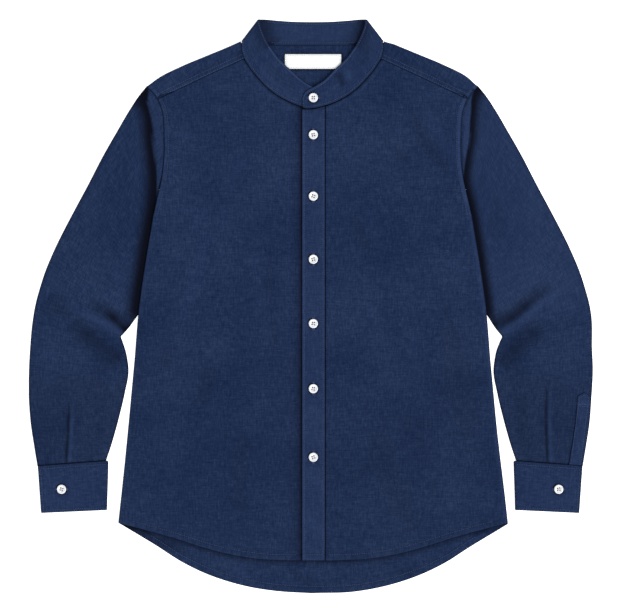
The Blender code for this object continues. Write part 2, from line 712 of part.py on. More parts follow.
def build_label():
    """A plain woven label on the yoke, behind the neck."""
    bpy.ops.mesh.primitive_cube_add(size=1.0)
    cube = bpy.context.object
    mesh = cube.data
    bpy.data.objects.remove(cube)
    label = add_object("neck_label", mesh, label_cloth)
    label.scale = (LABEL_SIZE[0] * MM, LABEL_SIZE[1] * MM, CLOTH * MM)
    label.location = (LABEL_CENTRE[0] * MM, LABEL_CENTRE[1] * MM, (LAYER + CLOTH / 2) * MM)


def button_mesh():
    """A turned button with a raised rim, a dished middle and four holes."""
    radius, rim_top = BUTTON_DIAMETER / 2, BUTTON_HEIGHT
    dish = rim_top - BUTTON_DISH
    profile = [
        (0.0, dish),
        (radius - BUTTON_RIM - BUTTON_EDGE, dish),
        (radius - BUTTON_RIM, rim_top),
        (radius - BUTTON_EDGE, rim_top),
        (radius, rim_top - BUTTON_FOOT),
        (radius - BUTTON_FOOT, 0.0),
        (0.0, 0.0),
    ]
    outline = bpy.data.meshes.new("button profile")
    outline.from_pydata([(r * MM, 0.0, z * MM) for r, z in profile], [(i, i + 1) for i in range(6)], [])
    turned = bpy.data.objects.new("button turned", outline)
    guides.objects.link(turned)
    screw = turned.modifiers.new("turn", "SCREW")
    screw.steps = screw.render_steps = BUTTON_SIDES
    screw.use_merge_vertices = True
    screw.merge_threshold = 0.00001
    cutter_form = bmesh.new()
    for quarter in range(4):
        angle = math.radians(45.0 + 90.0 * quarter)
        place = (math.cos(angle) * BUTTON_HOLE_SPACING / math.sqrt(2.0) * MM,
                 math.sin(angle) * BUTTON_HOLE_SPACING / math.sqrt(2.0) * MM, BUTTON_HEIGHT / 2 * MM)
        hole = bmesh.ops.create_cone(cutter_form, cap_ends=True, segments=8, radius1=BUTTON_HOLE_DIAMETER / 2 * MM,
                                     radius2=BUTTON_HOLE_DIAMETER / 2 * MM, depth=BUTTON_HEIGHT * 2 * MM)
        bmesh.ops.translate(cutter_form, verts=hole["verts"], vec=place)
    cutter_mesh = bpy.data.meshes.new("button holes")
    cutter_form.to_mesh(cutter_mesh)
    cutter_form.free()
    cutter = bpy.data.objects.new("button holes", cutter_mesh)
    guides.objects.link(cutter)
    holes = turned.modifiers.new("holes", "BOOLEAN")
    holes.object = cutter
    holes.operation = "DIFFERENCE"
    evaluated = turned.evaluated_get(bpy.context.evaluated_depsgraph_get())
    mesh = bpy.data.meshes.new_from_object(evaluated)
    mesh.name = "button"
    bpy.data.objects.remove(turned)
    bpy.data.objects.remove(cutter)
    mesh.set_sharp_from_angle(angle=math.radians(35.0))
    return mesh


def build_buttons():
    """The nine buttons, each a little clear of the cloth that it lies on."""
    mesh = button_mesh()
    over_band = BAND_OVER_END_Z + BAND_CLOTH + SEAM_GAP + 2.0 * OFF_TABLE
    places = {"button_collar": (BUTTON_X, COLLAR_BUTTON_UP, over_band)}
    for number, up in enumerate(PLACKET_BUTTONS_UP, start=1):
        place = np.array([[[BUTTON_X, up]]])
        over_placket = placket_height(place).item() + PLACKET_CLOTH + SEAM_GAP + OFF_TABLE
        places[f"button_{number}"] = (BUTTON_X, up, over_placket)
    over_cuff = CUFF_CLOTH + CUFF_TOP_RISE + SEAM_GAP
    places["button_cuff_right"] = (-CUFF_BUTTON[0], CUFF_BUTTON[1], over_cuff)
    places["button_cuff_left"] = (CUFF_BUTTON[0] - LEFT_BUTTON_IN, CUFF_BUTTON[1], over_cuff)
    for name, place in places.items():
        button = add_object(name, mesh, button_shell)
        button.location = [value * MM for value in place]


for old in list(bpy.data.objects):
    bpy.data.objects.remove(old, do_unlink=True)
collection = bpy.data.collections.new("mandarin collar shirt")
guides = bpy.data.collections.new("guides")
bpy.context.scene.collection.children.link(collection)
bpy.context.scene.collection.children.link(guides)
centre_line = bpy.data.objects.new("centre_line", None)
centre_line.location = (CENTRE_LINE_X * MM, 0.0, 0.0)
collection.objects.link(centre_line)
shirt_cloth = cloth_material("navy slub cotton", (0.015, 0.030, 0.078), 0.9)
label_cloth = cloth_material("white satin tape", (0.80, 0.80, 0.80), 0.6)
button_shell = cloth_material("white polyester button", (0.78, 0.79, 0.80), 0.3)

build_back()
build_yoke()
build_fronts()
build_placket()
build_collar()
for sleeve_hand, sleeve_side in ((RIGHT, "right"), (LEFT, "left")):
    sleeve = Sleeve(sleeve_hand)
    sleeve.build(f"sleeve_{sleeve_side}")
    build_cuff(f"cuff_{sleeve_side}", sleeve)
    sheet_object(f"sleeve_placket_{sleeve_side}",
                 sleeve.placket_columns("lower" if sleeve_hand == RIGHT else "upper"), CLOTH)
build_label()
build_buttons()
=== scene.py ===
"""Looks of a mandarin collar shirt, buttoned up and laid flat on its back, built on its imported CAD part.

Each cut piece of cloth is a thin closed wall with rounded rims, laid where its CAD node lies.  Places on the
shirt are in millimetres: "across" from its centre line, positive towards the wearer's left, and "up" from the
middle of its length.  "out" is the distance from the centre line on either side.
"""

import logging
import math
from dataclasses import dataclass, field
from enum import Enum
from typing import Any, NamedTuple, Sequence

import bmesh
import bpy
import numpy as np
from bpy.types import Material, Mesh, Node, NodeSocket, NodeTree, Object
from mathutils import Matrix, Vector
from mathutils.bvhtree import BVHTree
from numpy.linalg import norm


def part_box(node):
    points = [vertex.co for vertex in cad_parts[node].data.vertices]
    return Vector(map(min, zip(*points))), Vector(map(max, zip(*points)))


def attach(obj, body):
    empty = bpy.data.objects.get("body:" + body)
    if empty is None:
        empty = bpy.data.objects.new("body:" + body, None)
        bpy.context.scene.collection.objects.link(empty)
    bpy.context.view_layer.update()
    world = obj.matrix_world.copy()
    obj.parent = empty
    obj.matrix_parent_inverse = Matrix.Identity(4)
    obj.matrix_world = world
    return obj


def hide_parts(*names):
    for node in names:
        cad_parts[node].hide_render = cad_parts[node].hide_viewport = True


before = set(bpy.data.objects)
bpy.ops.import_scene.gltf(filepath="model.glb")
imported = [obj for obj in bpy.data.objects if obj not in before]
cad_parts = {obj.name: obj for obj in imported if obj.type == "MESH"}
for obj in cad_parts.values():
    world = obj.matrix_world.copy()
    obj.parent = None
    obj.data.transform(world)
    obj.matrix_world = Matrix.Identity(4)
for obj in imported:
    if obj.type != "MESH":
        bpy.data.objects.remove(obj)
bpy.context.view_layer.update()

MM = 0.001
BODY = "root"
log = logging.getLogger("shirt")

Array = np.ndarray

# The cloth's layers, in millimetres, as the CAD has them
CLOTH = 1
SEAM_GAP = 0.3
LAYER = CLOTH + SEAM_GAP
CLOSED_SEAM = 0.03
PRESSED = 2.6
PLACKET_CLOTH = 1.5
BAND_CLOTH = 1.6
CUFF_CLOTH = 1.4
OFF_TABLE = 0.05
OVER_YOKE = 1.15
CENTRE_LINE_X = 2.07


class Side(Enum):
    """One side of the shirt, as its wearer names it, with the sign that "across" has there."""

    RIGHT = -1
    LEFT = 1

    @property
    def label(self) -> str:
        """The word that node names end in."""
        return self.name.lower()


class Slot(Enum):
    """Names for the material slots."""

    CLOTH = "cloth"
    LABEL = "label"
    BUTTON = "button"


class Place(NamedTuple):
    """A place in a half's table."""

    out: float
    up: float


Rows = tuple[tuple[float, ...], ...]


def ease(value: Any) -> Any:
    """A step from 0 to 1 with soft ends, while the value goes from 0 to 1."""
    clamped = np.clip(value, 0, 1)
    return clamped * clamped * (3 - 2 * clamped)


def hump(distance: Any, width: float) -> Any:
    """A soft hump of height 1 that has faded at about 1.7 widths from its middle."""
    return np.exp(-((distance / width) ** 2))


def wander(along: Any, wave: float, seed: float) -> Any:
    """An uneven wave between about -1 and 1, for puckers and ripples that don't repeat.

    Args:
        along: the distance along the seam or fold.
        wave: its mean wavelength.
        seed: a number that gives each seam its own wave.

    Returns:
        The wave's height.
    """
    turn = 2 * math.pi / wave
    first = np.sin(along * turn + seed * 1.7 + 0.9 * np.sin(along * turn * 0.31 + seed))
    second = np.sin(along * turn * 1.73 + seed * 4.1)
    return 0.65 * first * (0.6 + 0.4 * np.sin(along * turn * 0.19 + seed * 2.3)) + 0.35 * second


def running_length(points: Array) -> Array:
    """The length along a line at each of its points, or down each column of a grid."""
    steps = norm(np.diff(points, axis=0), axis=-1)
    return np.concatenate([np.zeros_like(steps[:1]), np.cumsum(steps, axis=0)])


def unit(vectors: Array) -> Array:
    """Vectors, each made 1 long."""
    return vectors / np.maximum(norm(vectors, axis=-1, keepdims=True), 1e-9)


class Curve:
    """A smooth line through a table's rows, measured by its length from the first row."""

    def __init__(self, rows: Sequence[Sequence[float]]) -> None:
        """Fits the line through these points, each with the same number of values."""
        self.points = np.array(rows, dtype=float)
        chords = np.diff(self.points, axis=0)
        steps = norm(chords, axis=1)
        self.stations = running_length(self.points)
        secants = chords / steps[:, None]
        weights = steps[1:, None] + steps[:-1, None]
        inner = (secants[1:] * steps[:-1, None] + secants[:-1] * steps[1:, None]) / weights
        self.slopes = np.vstack([secants[:1], inner, secants[-1:]])
        self.length = float(self.stations[-1])

    def at(self, lengths: Any) -> Array:
        """The points at these lengths along the line."""
        lengths = np.clip(np.atleast_1d(np.asarray(lengths, dtype=float)), 0, self.length)
        index = np.clip(np.searchsorted(self.stations, lengths) - 1, 0, len(self.points) - 2)
        step = (self.stations[index + 1] - self.stations[index])[:, None]
        t = (lengths - self.stations[index])[:, None] / step
        start, end = self.points[index], self.points[index + 1]
        start_slope, end_slope = self.slopes[index] * step, self.slopes[index + 1] * step
        return (
            (2 * t**3 - 3 * t**2 + 1) * start
            + (t**3 - 2 * t**2 + t) * start_slope
            + (3 * t**2 - 2 * t**3) * end
            + (t**3 - t**2) * end_slope
        )

    def spread(self, count: int) -> Array:
        """This many points, evenly spread from end to end."""
        return self.at(np.linspace(0, self.length, count))

    def crossing(self, axis: int, values: Any) -> Array:
        """Where the line, which runs one way along an axis, reaches some values.

        Args:
            axis: the values' column in the table.
            values: the values.

        Returns:
            One point for each value.
        """
        lengths = np.linspace(0, self.length, 500)
        samples = self.at(lengths)[:, axis]
        order = np.argsort(samples)
        return self.at(np.interp(np.asarray(values, dtype=float).ravel(), samples[order], lengths[order]))


class Nearest(NamedTuple):
    """Where points lie beside a line: how far off, how far along it, and on its left (1) or right (-1)."""

    distance: Array
    along: Array
    side: Array


def nearest_on(points: Array, line: Array) -> Nearest:
    """Measures points against a line of straight stretches.

    Args:
        points: plan places (..., 2).
        line: the line's corners.

    Returns:
        Their distances, lengths along the line and sides.
    """
    shape = points.shape[:-1]
    flat = points.reshape(-1, 2)
    starts, edges = line[:-1], np.diff(line, axis=0)
    lengths = np.maximum(norm(edges, axis=1), 1e-9)
    offsets = flat[:, None] - starts[None]
    part = np.clip((offsets * edges).sum(-1) / lengths**2, 0, 1)
    gaps = offsets - part[..., None] * edges
    distance = norm(gaps, axis=-1)
    best = distance.argmin(axis=1)
    pick = (np.arange(len(flat)), best)
    stations = np.concatenate([[0], np.cumsum(lengths)[:-1]])
    along = stations[best] + part[pick] * lengths[best]
    gap = gaps[pick]
    side = np.sign(edges[best, 0] * gap[:, 1] - edges[best, 1] * gap[:, 0])
    return Nearest(distance[pick].reshape(shape), along.reshape(shape), side.reshape(shape))


def is_inside(points: Array, polygon: Array) -> Array:
    """Whether each point lies inside a closed polygon.

    Args:
        points: plan places (..., 2).
        polygon: its corners.

    Returns:
        True or False for each point.
    """
    shape = points.shape[:-1]
    flat = points.reshape(-1, 2)
    starts, ends = polygon, np.roll(polygon, -1, axis=0)
    edges = ends - starts
    straddles = (starts[:, 1] > flat[:, None, 1]) != (ends[:, 1] > flat[:, None, 1])
    rise = np.where(edges[:, 1] == 0, 1, edges[:, 1])
    crossing_out = starts[:, 0] + (flat[:, None, 1] - starts[:, 1]) * edges[:, 0] / rise
    return ((straddles & (flat[:, None, 0] < crossing_out)).sum(axis=1) % 2 == 1).reshape(shape)


def distance_outside(points: Array, polygon: Array) -> Array:
    """How far each point lies outside a closed polygon, and 0 inside it."""
    closed = np.vstack([polygon, polygon[:1]])
    return np.where(is_inside(points, polygon), 0, nearest_on(points, closed).distance)


def edges_patch(top: Array, bottom: Array, first: Array, last: Array, across: Array, along: Array) -> Array:
    """A grid of plan places between four edges.

    Args:
        top: the first row.
        bottom: the last row.
        first: the first column.
        last: the last column.
        across: each column's share of the way across.
        along: each row's share of the way down.

    Returns:
        The places, by row and column.
    """
    u = across[None, :, None]
    v = along[:, None, None]
    between_ends = (1 - v) * top[None] + v * bottom[None]
    between_sides = (1 - u) * first[:, None] + u * last[:, None]
    corners = (1 - u) * (1 - v) * top[0] + u * (1 - v) * top[-1]
    corners = corners + (1 - u) * v * bottom[0] + u * v * bottom[-1]
    return between_ends + between_sides - corners


def inset(grid: Array, amount: float) -> Array:
    """A plan grid with its edges moved in by this amount, so that a rounded rim ends at the cut edge."""
    moved = grid.copy()
    down, right = unit(np.gradient(grid, axis=0)), unit(np.gradient(grid, axis=1))
    moved[0] += down[0] * amount
    moved[-1] -= down[-1] * amount
    moved[:, 0] += right[:, 0] * amount
    moved[:, -1] -= right[:, -1] * amount
    return moved


def steps_between(start: float, end: float, step: float, fine_start: float = 0, fine_end: float = 0) -> Array:
    """Grid lines from start to end, closer together near the ends that have detail.

    Args:
        start: the first place.
        end: the last place.
        step: the usual distance.
        fine_start: how far the close lines reach from the start.
        fine_end: how far they reach from the end.

    Returns:
        The places, both ends included.
    """
    fine_step = 1
    length = abs(end - start)
    first = np.arange(0, fine_start, fine_step)
    last = length - np.arange(0, fine_end, fine_step)[::-1]
    count = max(2, round((length - fine_start - fine_end) / step) + 1)
    middle = np.linspace(fine_start, length - fine_end, count)
    places = np.unique(np.round(np.concatenate([first, middle, last]), 6))
    return start + math.copysign(1, end - start) * places


def hex_to_linear(code: str) -> tuple[float, float, float, float]:
    """An sRGB colour such as "#22314f" as linear red, green, blue and an alpha of 1."""
    channels = [int(code[start:start + 2], 16) / 255 for start in (1, 3, 5)]
    linear = [c / 12.92 if c <= 0.04045 else ((c + 0.055) / 1.055) ** 2.4 for c in channels]
    return (linear[0], linear[1], linear[2], 1)


def add_node(tree: NodeTree, kind: str, sockets: dict, **settings: Any) -> Node:
    """Adds a shader node with its settings and links.

    Args:
        tree: the node tree.
        kind: the node's type.
        sockets: each input's value, or the output that is linked to it.
        settings: the node's own settings.

    Returns:
        The new node.
    """
    node = tree.nodes.new(f"ShaderNode{kind}")
    for name, value in settings.items():
        setattr(node, name, value)
    for key, value in sockets.items():
        if isinstance(value, NodeSocket):
            tree.links.new(value, node.inputs[key])
        else:
            node.inputs[key].default_value = value
    return node


def empty_material(name: str) -> Material:
    """A material with nothing in its node tree yet."""
    material = bpy.data.materials.new(name)
    material.use_nodes = True
    material.node_tree.nodes.clear()
    return material


def ramp_colour(tree: NodeTree, value: NodeSocket, stops: Sequence[tuple[float, str]]) -> NodeSocket:
    """Turns a value into a colour.

    Args:
        tree: the node tree.
        value: the value, from 0 to 1.
        stops: each colour's position and sRGB code.

    Returns:
        The colour.
    """
    ramp = add_node(tree, "ValToRGB", {0: value})
    elements = ramp.color_ramp.elements
    while len(elements) < len(stops):
        elements.new(1)
    for element, (position, code) in zip(elements, stops):
        element.position = position
        element.color = hex_to_linear(code)
    return ramp.outputs[0]


def coloured_noise(tree: NodeTree, place: NodeSocket, scale: tuple[float, float, float],
                   detail: float, stops: Sequence[tuple[float, str]]) -> tuple[NodeSocket, ...]:
    """Soft noise, run through a ramp of colours.

    Args:
        tree: the node tree.
        place: the coordinates, in metres.
        scale: how often it repeats in a metre, along each axis.
        detail: how many finer layers it has.
        stops: each colour's position and sRGB code.

    Returns:
        The noise's value and its colour.
    """
    scaled = add_node(tree, "VectorMath", {0: place, 1: scale}, operation="MULTIPLY")
    noise = add_node(tree, "TexNoise", {"Vector": scaled.outputs[0], "Scale": 1, "Detail": detail})
    return noise.outputs[0], ramp_colour(tree, noise.outputs[0], stops)


def painted_on(tree: NodeTree) -> tuple[NodeSocket, NodeSocket]:
    """The painted shade, and the painted highlight and abrasion, that each wall carries."""
    painted = add_node(tree, "Attribute", {}, attribute_name="painted_light_and_abrasion")
    parts = add_node(tree, "SeparateColor", {0: painted.outputs["Color"]})
    return parts.outputs[0], parts.outputs[1]


def mixed(tree: NodeTree, amount: NodeSocket, colour: NodeSocket, code: str) -> NodeSocket:
    """A colour moved by this amount towards the one with this sRGB code."""
    sockets = {0: amount, 6: colour, 7: hex_to_linear(code)}
    return add_node(tree, "Mix", sockets, data_type="RGBA").outputs[2]


def finished(material: Material, sockets: dict) -> Material:
    """A material with its one shader, which has these values and links."""
    shader = add_node(material.node_tree, "BsdfPrincipled", sockets)
    add_node(material.node_tree, "OutputMaterial", {0: shader.outputs[0]})
    return material


def add_object(name: str, data: Any) -> Object:
    """A new object in the scene that shows this data."""
    made = bpy.data.objects.new(name, data)
    bpy.context.scene.collection.objects.link(made)
    return made


def new_mesh(name: str, vertices: Any, faces: Any) -> Mesh:
    """A new mesh of these vertices, in millimetres, and faces."""
    mesh = bpy.data.meshes.new(name)
    mesh.from_pydata((np.array(vertices) * MM).tolist(), [], faces)
    return mesh


@dataclass(frozen=True)
class SlubCotton:
    """Navy cotton, woven plain from slub yarns and piece dyed.

    The yarns run thick and thin, so short lighter and darker streaks cross each other all over it.  It has a
    faint bloom from the fibre ends and no shine.  Painted highlight and abrasion make it lighter where seams
    and folds stand up, and painted shade makes it darker where shade would fall.
    """

    name: str = "navy_slub_cotton"
    darkest: str = "#0a1a38"
    navy: str = "#172643"
    lightest: str = "#263452"
    in_shadow: str = "#020411"
    # Painted highlight and abrasion move the cloth's colour towards this one, and painted shade towards
    # in_shadow
    highlight_and_abrasion_colour: str = "#304167"
    # The yarns are about 0.5 mm apart, too fine to show, so a slub is drawn four yarns wide
    slub_width: float = 2
    slub_length: float = 14
    yarn_width: float = 1.5
    yarn_length: float = 4.4
    mottle: float = 9
    fade: float = 85
    relief: float = 0.00045

    def material(self) -> Material:
        """Builds the cloth's shader, on the flat cloth's UV map "cut", with painted shade, highlight and
        abrasion.
        """
        made = empty_material(self.name)
        tree = made.node_tree
        place = add_node(tree, "UVMap", {}, uv_map="cut")
        on_cloth = add_node(tree, "VectorMath", {0: place.outputs[0], 3: 1 / MM}, operation="SCALE")
        # Each layer's size across and along the cloth, its share of the tone and its detail
        layers = (
            (self.slub_width, self.slub_length, 0.62, 2),
            (self.slub_length, self.slub_width, 0.50, 2),
            (self.yarn_width, self.yarn_length, 0.42, 1),
            (self.yarn_length, self.yarn_width, 0.42, 1),
            (self.mottle, self.mottle, 0.24, 3),
            (self.fade, self.fade, 0.40, 1),
        )
        tone, threads = 0.5 - sum(share for _, _, share, _ in layers) / 2, 0
        for number, (width, length, share, detail) in enumerate(layers):
            size = add_node(tree, "VectorMath",
                            {0: on_cloth.outputs[0], 1: (1 / width, 1 / length, 1), 2: (7.3 * number,) * 3},
                            operation="MULTIPLY_ADD")
            noise = add_node(tree, "TexNoise",
                             {"Vector": size.outputs[0], "Scale": 1, "Detail": detail, "Roughness": 0.55})
            tone = add_node(tree, "Math", {0: noise.outputs[0], 1: share, 2: tone},
                            operation="MULTIPLY_ADD").outputs[0]
            if number < 4:
                threads = add_node(tree, "Math", {0: noise.outputs[0], 1: 0.25, 2: threads},
                                   operation="MULTIPLY_ADD").outputs[0]
        colour = ramp_colour(tree, tone, ((0.18, self.darkest), (0.5, self.navy), (0.84, self.lightest)))
        shade, painted_light_and_abrasion = painted_on(tree)
        colour = mixed(tree, shade, mixed(tree, painted_light_and_abrasion, colour, self.highlight_and_abrasion_colour), self.in_shadow)
        bump = add_node(tree, "Bump", {"Height": threads, "Strength": 0.55, "Distance": self.relief})
        return finished(made, {"Base Color": colour, "Normal": bump.outputs[0], "Roughness": 0.88,
                               "Specular IOR Level": 0.08})


@dataclass(frozen=True)
class SewingThread:
    """Spun polyester sewing thread, dyed a shade lighter than the cloth it holds.

    Its twist catches a little light, so a row of stitches reads as a line of small bright dashes.
    """

    name: str = "spun_polyester_thread"
    colour: str = "#2a3a60"
    lighter: str = "#3c4c73"
    twist: float = 0.9

    def material(self) -> Material:
        """Builds the thread's shader."""
        made = empty_material(self.name)
        place = add_node(made.node_tree, "TexCoord", {}).outputs["Object"]
        _, colour = coloured_noise(made.node_tree, place, (1 / (self.twist * MM),) * 3, 1,
                                   ((0.35, self.colour), (0.65, self.lighter)))
        return finished(made, {"Base Color": colour, "Roughness": 0.6, "Specular IOR Level": 0.35})


@dataclass(frozen=True)
class SatinTape:
    """White polyester satin tape, woven for labels.

    Its long floats give it a soft gloss and fine ribs along its length.
    """

    name: str = "white_satin_tape"
    white: str = "#eaebeb"
    between_ribs: str = "#dadcdd"
    in_shadow: str = "#3c4454"
    # The floats are about 0.2 mm apart, too fine to show, so the ribs are drawn four times as wide
    rib: float = 0.8
    rib_run: float = 0.12
    relief: float = 0.0002

    def material(self) -> Material:
        """Builds the tape's shader, on the UV map "cut"."""
        made = empty_material(self.name)
        tree = made.node_tree
        place = add_node(tree, "UVMap", {}, uv_map="cut").outputs[0]
        scale = (self.rib_run / (self.rib * MM), 1 / (self.rib * MM), 1)
        ribs, colour = coloured_noise(tree, place, scale, 2, ((0.3, self.between_ribs), (0.6, self.white)))
        bump = add_node(tree, "Bump", {"Height": ribs, "Strength": 0.3, "Distance": self.relief})
        return finished(made, {"Base Color": mixed(tree, painted_on(tree)[0], colour, self.in_shadow),
                               "Normal": bump.outputs[0], "Roughness": 0.45, "Specular IOR Level": 0.4})


@dataclass(frozen=True)
class CastPolyester:
    """White polyester button blank, cast, turned and polished.

    It has a milky body with faint clouds and a soft gloss on its turned rim.
    """

    name: str = "white_cast_polyester"
    white: str = "#e6e7e8"
    cloud: str = "#d2d4d8"
    cloud_size: float = 3.5

    def material(self) -> Material:
        """Builds the button's shader."""
        made = empty_material(self.name)
        place = add_node(made.node_tree, "TexCoord", {}).outputs["Object"]
        _, colour = coloured_noise(made.node_tree, place, (1 / (self.cloud_size * MM),) * 3, 3,
                                   ((0.35, self.cloud), (0.65, self.white)))
        return finished(made, {"Base Color": colour, "Roughness": 0.28, "IOR": 1.56,
                               "Subsurface Weight": 0.08, "Subsurface Radius": (0.001, 0.001, 0.001)})


@dataclass(frozen=True)
class PaintedBoard:
    """Matt white painted board, rolled on: even, with a faint orange peel."""

    name: str = "matt_white_board"
    white: str = "#f7f7f6"
    off_white: str = "#f4f4f3"
    # The board is lit from behind, as on a light table, so that no shadow shows round the shirt
    glow: float = 0.75

    def material(self) -> Material:
        """Builds the board's shader."""
        made = empty_material(self.name)
        noise = add_node(made.node_tree, "TexNoise", {"Scale": 90, "Detail": 3})
        colour = ramp_colour(made.node_tree, noise.outputs[0], ((0.3, self.off_white), (0.7, self.white)))
        return finished(made, {"Base Color": colour, "Roughness": 0.95, "Specular IOR Level": 0,
                               "Emission Color": (1, 1, 1, 1), "Emission Strength": self.glow})


class Relief(NamedTuple):
    """What the creases do at each place: its rise in millimetres, its painted shade, and its painted
    highlight and abrasion.
    """

    rise: Array
    shade: Array
    highlight_and_abrasion: Array


@dataclass(frozen=True)
class Crease:
    """A soft ridge or trough along a line, uneven as one that a hand or an iron leaves.

    Attributes:
        line: the places it runs through, as (across, up).
        rise: its height, or its depth if negative.
        left: its width on the left of its direction.
        right: its width on the right.
        shade: how much darker it is.
        highlight_and_abrasion: how much lighter it is painted, as painted highlight on its ridge and as
            abrasion.
        starts: the share of its length over which it grows.
        ends: the share over which it fades out.
    """

    line: tuple[tuple[float, float], ...]
    rise: float
    left: float = 8
    right: float = 8
    shade: float = 0
    highlight_and_abrasion: float = 0
    starts: float = 0.35
    ends: float = 0.35

    def profile(self, plan: Array) -> Array:
        """How strong the crease is at each place.

        Args:
            plan: plan places (..., 2).

        Returns:
            Its strength, from 0 to about 1.
        """
        line = Curve(self.line).spread(14)
        reach = 2.4 * max(self.left, self.right)
        near = ((plan > line.min(axis=0) - reach) & (plan < line.max(axis=0) + reach)).all(axis=-1)
        strength = np.zeros(plan.shape[:-1])
        if near.any():
            found = nearest_on(plan[near], line)
            length = norm(np.diff(line, axis=0), axis=1).sum()
            share = found.along / length
            fade = ease(share / max(self.starts, 0.001)) * ease((1 - share) / max(self.ends, 0.001))
            uneven = 1 + 0.22 * wander(found.along, 47, self.line[0][0] * 0.1 + self.rise)
            width = np.where(found.side > 0, self.left, self.right)
            strength[near] = hump(found.distance, width) * fade * uneven
        return strength


def relief_of(plan: Array, creases: Sequence[Crease]) -> Relief:
    """Adds up the creases at each place.

    Args:
        plan: plan places (..., 2).
        creases: the creases.

    Returns:
        Their rise, painted shade, and painted highlight and abrasion.
    """
    rise, shade, highlight_and_abrasion = (np.zeros(plan.shape[:-1]) for _ in range(3))
    for crease in creases:
        strength = crease.profile(plan)
        rise += crease.rise * strength
        shade += crease.shade * strength
        highlight_and_abrasion += crease.highlight_and_abrasion * strength
    return Relief(rise, shade, highlight_and_abrasion)


def together(reliefs: Sequence[Relief]) -> Relief:
    """Several reliefs, added up."""
    return Relief(*(sum(parts) for parts in zip(*reliefs)))


def turned_edge(distance: Array, along: Array, width: float, seed: float, firm: float = 1) -> Relief:
    """The relief of a turned and stitched edge: a firm rim, puckers and the stitches' hollow.

    Args:
        distance: each place's distance from the edge.
        along: its place along the edge.
        width: how far in the stitches are.
        seed: a number that gives the edge its own puckers.
        firm: how strong the relief is.

    Returns:
        Its rise; painted shade in the stitches' hollow; and painted highlight and abrasion on the puckers and
        the rim.
    """
    on_hem = ease((width + 0.6 - distance) / 1.4)
    hollow = hump(distance - width, 1.1)
    pucker = wander(along, 8.5, seed) * hump(distance - width * 0.55, width * 0.5)
    outside = wander(along + 3, 10, seed + 2) * hump(distance - width - 4, 3.2)
    rise = 0.20 * on_hem - 0.28 * hollow + 0.14 * pucker + 0.10 * outside
    shade = 0.30 * hollow * (0.75 + 0.25 * wander(along, 11, seed + 5))
    highlight_and_abrasion = 0.16 * np.clip(pucker, 0, 1) * on_hem + 0.10 * hump(distance - 0.5, 1.2)
    return Relief(firm * rise, firm * shade, firm * highlight_and_abrasion)


